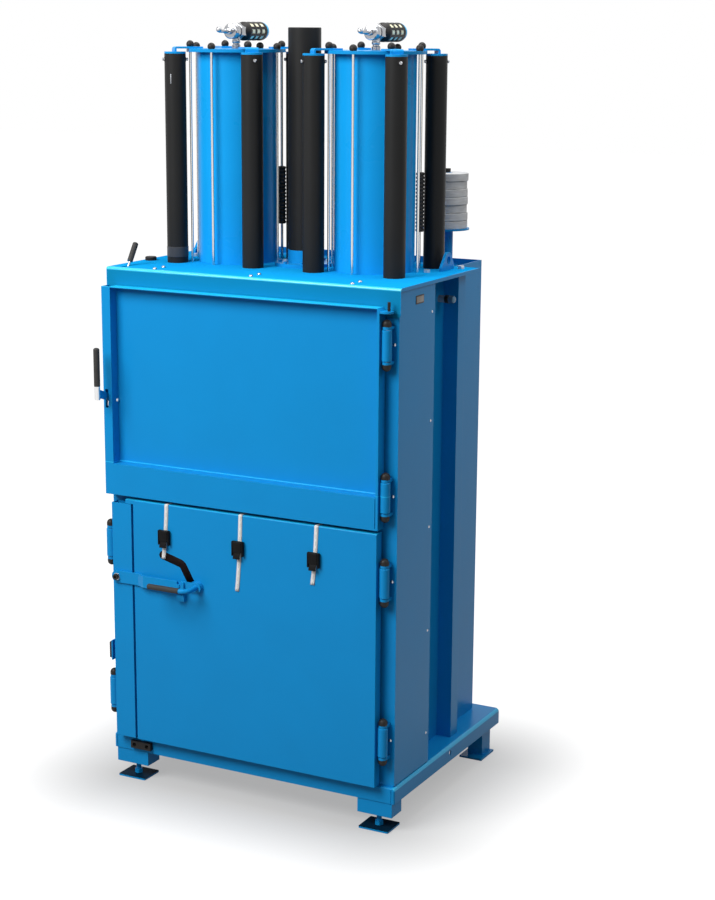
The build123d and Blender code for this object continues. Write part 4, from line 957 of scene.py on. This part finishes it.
@dataclass
class LashingStrap:
    """One strap with its buckle on the lower door."""

    side: str
    width: float = 0.0135
    thick: float = 0.0012
    lean: float = 0.0065
    inner_tail: float = 0.15
    bend: float = 0.002
    bend_steps: int = 4
    front_steps: int = 24
    sway: float = 0.002
    flare: float = 0.001
    flare_start: float = 0.72

    def build(self) -> None:
        """Model the webbing and the cam buckle."""
        low, high, middle = corners("strap_" + self.side)
        route = self.route(low, high)
        strap = self.ribbon(route)
        CamBuckle(self.side, middle.x).build()

    def route(self, low: Vector, high: Vector) -> list[Vector]:
        """Middle line of the strap from its inner end to its free tail.

        Args:
            low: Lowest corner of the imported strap.
            high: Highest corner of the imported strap.

        Returns:
            The points.
        """
        middle = (low.x + high.x) / 2
        front = low.y + self.thick / 2
        back = high.y - self.thick / 2
        top = high.z - self.thick / 2
        x = middle + self.lean
        tail = self.inner_tail
        points = [Vector((x, back, top - tail + tail * i / 5)) for i in range(5)]
        turns = [math.pi / 2 * i / self.bend_steps for i in range(self.bend_steps + 1)]
        points += [Vector((x, back - self.bend * (1 - math.cos(turn)), top - self.bend * (1 - math.sin(turn))))
                   for turn in turns]
        points += [Vector((x, front + self.bend * (1 - math.sin(turn)), top - self.bend * (1 - math.cos(turn))))
                   for turn in turns]
        start = top - self.bend
        for i in range(1, self.front_steps + 1):
            share = i / self.front_steps
            sway = self.lean * (1 - 2 * share) + self.sway * math.sin(share * math.pi)
            stand = self.flare * max(0.0, (share - self.flare_start) / (1 - self.flare_start)) ** 2
            points.append(Vector((middle + sway, front - stand, start - (start - low.z) * share)))
        return points

    def ribbon(self, route: list[Vector]) -> bpy.types.Object:
        """Extrude the strap's width along its route.

        Args:
            route: The middle line.

        Returns:
            The strap's object.
        """
        shape = Shape("webbing_" + self.side)
        made = shape.mesh
        uv_layer = made.loops.layers.uv.new("UVMap")
        half = Vector((self.width / 2, 0, 0))
        edge = made.edges.new([made.verts.new(route[0] - half), made.verts.new(route[0] + half)])
        travelled = {edge.verts[0]: (0, 0), edge.verts[1]: (1, 0)}
        length = 0.0
        for before, after in zip(route, route[1:]):
            edge = shape.grow(edge)
            length += (after - before).length
            for vert, side in zip(sorted(edge.verts, key=lambda vert: vert.co.x), (0, 1)):
                vert.co = after + half * (2 * side - 1)
                travelled[vert] = (side, length)
        for face in made.faces:
            for loop in face.loops:
                loop[uv_layer].uv = travelled[loop.vert]
        bmesh.ops.recalc_face_normals(made, faces=made.faces)
        return shape.place("lower_door", (STRAP,), "webbing", ("strap_" + self.side,), sharp=60.0,
                           thick=self.thick)


@dataclass
class TurnBand:
    """Plain dark band on the lower door, bent once, that leads to the latch handle."""

    door_front: float = -0.3671
    thick: float = 0.0004
    width: float = 0.0262
    route: tuple[tuple[float, float], ...] = ((-0.2858, 0.7683), (-0.2225, 0.7512), (-0.2168, 0.7482),
                                              (-0.2122, 0.7433), (-0.2086, 0.7372), (-0.185, 0.6956))

    def build(self) -> None:
        """Extrude the band's width along its bent line, with a rounded end."""
        shape = Shape("turn_band")
        made = shape.mesh
        points = [Vector((x, self.door_front, z)) for x, z in self.route]
        edge = None
        for index, point in enumerate(points):
            before = points[max(index - 1, 0)]
            after = points[min(index + 1, len(points) - 1)]
            forward = (after - before).normalized()
            across = Vector((-forward.z, 0, forward.x)) * self.width / 2
            if edge is None:
                edge = made.edges.new([made.verts.new(point - across), made.verts.new(point + across)])
                continue
            old = edge.verts[0].co.copy()
            edge = shape.grow(edge)
            first, second = edge.verts
            if (first.co - old).length > (second.co - old).length:
                first, second = second, first
            first.co = point - across
            second.co = point + across
        tail = bmesh.new()
        bmesh.ops.create_circle(tail, cap_ends=True, segments=32, radius=self.width / 2)
        bmesh.ops.rotate(tail, cent=(0, 0, 0), matrix=Matrix.Rotation(math.pi / 2, 3, "X"), verts=tail.verts)
        shape.take(tail, Matrix.Translation(points[0] - Vector((0, 0.0001, 0))), 0)
        bmesh.ops.recalc_face_normals(made, faces=made.faces)
        shape.place("lower_door", (INK,), "black_plastic", thick=self.thick)


@dataclass(frozen=True)
class Lamp:
    """One square soft lamp: where it hangs, what it points at, its side and its power in watts."""

    name: str
    place: Place
    target: Place
    size: float
    power: float

    def hang(self) -> None:
        """Make the lamp and turn it to its target."""
        data = bpy.data.lights.new(self.name, "AREA")
        data.shape = "SQUARE"
        data.size = self.size
        data.energy = self.power
        lamp = add_object(self.name, data)
        aim = (Vector(self.target) - Vector(self.place)).to_track_quat("-Z", "Y")
        lamp.matrix_world = Matrix.Translation(self.place) @ aim.to_matrix().to_4x4()


@dataclass
class Studio:
    """Floor, light and camera."""

    focal_pixels: float = 1901.5
    centre_pixels: tuple[float, float] = (355.7, 462.3)
    yaw: float = math.radians(27.47)
    pitch: float = math.radians(12.93)
    roll: float = math.radians(0.37)
    position: Place = (2.8406, -5.0984, 2.3605)
    sensor: float = 36.0
    floor_size: float = 60.0
    ambient: float = 0.17
    # The floor's glow rises from lift near the footprint to 1 beyond the fade distances: painted shade round
    # the base.
    lift: float = 0.395
    shade_fade: tuple[float, float] = (-0.05, 0.64)
    footing: Place = (0.42, 0.3, 0)
    floor_shade: float = 0.22
    lamps: tuple[Lamp, ...] = (
        Lamp("front_lamp", (-1.3, -3.5, 4.1), (0, -0.3, 1.2), size=2.6, power=230.0),
        Lamp("top_lamp", (0.3, 0.2, 4.6), (0.2, 0, 1.2), size=2.2, power=75.0),
        Lamp("side_lamp", (2.2, 0.3, 3.2), (0.5, 0.1, 1.3), size=1.2, power=13.0))

    def camera(self) -> None:
        """Set the camera where the photograph was taken from."""
        forward = Vector((-math.sin(self.yaw) * math.cos(self.pitch), math.cos(self.yaw) * math.cos(self.pitch),
                          -math.sin(self.pitch)))
        right = Vector((math.cos(self.yaw), math.sin(self.yaw), 0))
        down = forward.cross(right)
        turned_right = right * math.cos(self.roll) - down * math.sin(self.roll)
        turned_down = right * math.sin(self.roll) + down * math.cos(self.roll)
        data = bpy.data.cameras.new("camera")
        longest = max(FRAME_WIDTH, FRAME_HEIGHT)
        data.sensor_width = self.sensor
        data.lens = self.sensor * self.focal_pixels / longest
        data.shift_x = (FRAME_WIDTH / 2 - self.centre_pixels[0]) / longest
        data.shift_y = (self.centre_pixels[1] - FRAME_HEIGHT / 2) / longest
        camera = add_object("camera", data)
        turn = Matrix((turned_right, -turned_down, -forward)).transposed().to_4x4()
        camera.matrix_world = Matrix.Translation(self.position) @ turn
        bpy.context.scene.camera = camera

    def floor(self) -> None:
        """Lay a pale floor that keeps the machine's cast shadow, adds painted shade round its base by dimming
        the glow there, and fades to white away from it.
        """
        made = bmesh.new()
        bmesh.ops.create_grid(made, x_segments=1, y_segments=1, size=self.floor_size / 2)
        data = bpy.data.meshes.new("floor")
        made.to_mesh(data)
        made.free()
        floor = add_object("floor", data)
        recipe = Recipe(bpy.data.materials.new("pale_floor_with_painted_shade"))
        surface = recipe.node("BsdfDiffuse", {"Color": (self.floor_shade,) * 3 + (1.0,)})
        glow = recipe.node("Emission")
        reach = recipe.place
        for operation, value in (("ABSOLUTE", (0, 0, 0)), ("SUBTRACT", self.footing), ("MAXIMUM", (0, 0, 0))):
            step = recipe.node("VectorMath", {1: value}, operation=operation)
            recipe.link(reach, step.inputs[0])
            reach = step.outputs["Vector"]
        far = recipe.node("VectorMath", operation="LENGTH")
        recipe.link(reach, far.inputs[0])
        # Painted shade: the glow is lowest over the machine's footprint, so the floor round the base stays
        # darker even where lamps reach it.
        near, away = self.shade_fade
        limits = {"From Min": near, "From Max": away, "To Min": self.lift, "To Max": 1.0}
        white = recipe.node("MapRange", limits, interpolation_type="SMOOTHSTEP")
        recipe.link(far.outputs["Value"], white.inputs["Value"])
        seen = recipe.math("MULTIPLY", self.seen(recipe), white.outputs["Result"])
        recipe.link(seen, glow.inputs["Strength"])
        both = recipe.node("AddShader")
        recipe.link(surface.outputs[0], both.inputs[0])
        recipe.link(glow.outputs[0], both.inputs[1])
        data.materials.append(recipe.finish(both.outputs[0]))

    @staticmethod
    def seen(recipe: Recipe) -> Socket:
        """Tell camera, glossy and transmission rays from those that light the machine.

        Args:
            recipe: The node tree that asks.

        Returns:
            A socket that is 1 for rays that see white.
        """
        path = recipe.node("LightPath")
        share = path.outputs["Is Camera Ray"]
        for name in ("Is Glossy Ray", "Is Transmission Ray"):
            share = recipe.math("MAXIMUM", share, path.outputs[name])
        return share

    def world(self) -> None:
        """White surroundings for the eye and for reflections, plain light for the rest."""
        world = bpy.data.worlds.new("studio")
        bpy.context.scene.world = world
        recipe = Recipe(world, "OutputWorld")
        mix = recipe.node("MixShader")
        recipe.link(self.seen(recipe), mix.inputs["Fac"])
        for target, strength in ((mix.inputs[1], self.ambient), (mix.inputs[2], 1.0)):
            white = recipe.node("Background", {"Color": (1, 1, 1, 1), "Strength": strength})
            recipe.link(white.outputs[0], target)
        recipe.finish(mix.outputs[0])

    def build(self) -> None:
        """Set up everything around the machine."""
        self.camera()
        self.floor()
        self.world()
        for lamp in self.lamps:
            lamp.hang()
        bpy.context.scene.view_settings.view_transform = "Standard"


def tower_pieces() -> list[object]:
    """List the dressed pieces on top of the hood.

    Returns:
        Builders of the valves, silencers, sleeves and the tube's band.
    """
    made: list[object] = []
    heads = []
    for side in ("left", "right"):
        middle = corners("cylinder_" + side)[2]
        head_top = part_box("cylinder_head_" + side)[0][2] + HEAD_THICK
        centre = (middle.x, middle.y, head_top + VALVE_RISE)
        made.append(ExhaustValve(side, centre, head_top))
        made.append(Silencer(side, centre))
        heads.append((middle.x, middle.y, head_top))
        diagonal = ROD_CIRCLE * math.cos(math.radians(45))
        made.append(RibbedSleeve("rod_sleeve_" + side, middle.x + diagonal, middle.y + diagonal))
    made.append(DomeNuts(tuple(heads)))
    made.append(CrossBolts(tuple((x, y) for x, y, _ in heads)))
    made.append(TubeBand("spring_tube_left_3"))
    return made


def main() -> None:
    """Build the dressed machine and its studio."""
    logging.basicConfig(level=logging.INFO, format="%(name)s %(message)s")
    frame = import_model()
    nodes = frame["nodes"]
    Studio().build()
    Housing().dress(nodes)
    DataPlate().build()
    for piece in tower_pieces():
        piece.build()
    StrapReel().build()
    for side in ("left", "middle", "right"):
        LashingStrap(side).build()
    TurnBand().build()
    bpy.context.view_layer.update()


if __name__ == "__main__":
    main()
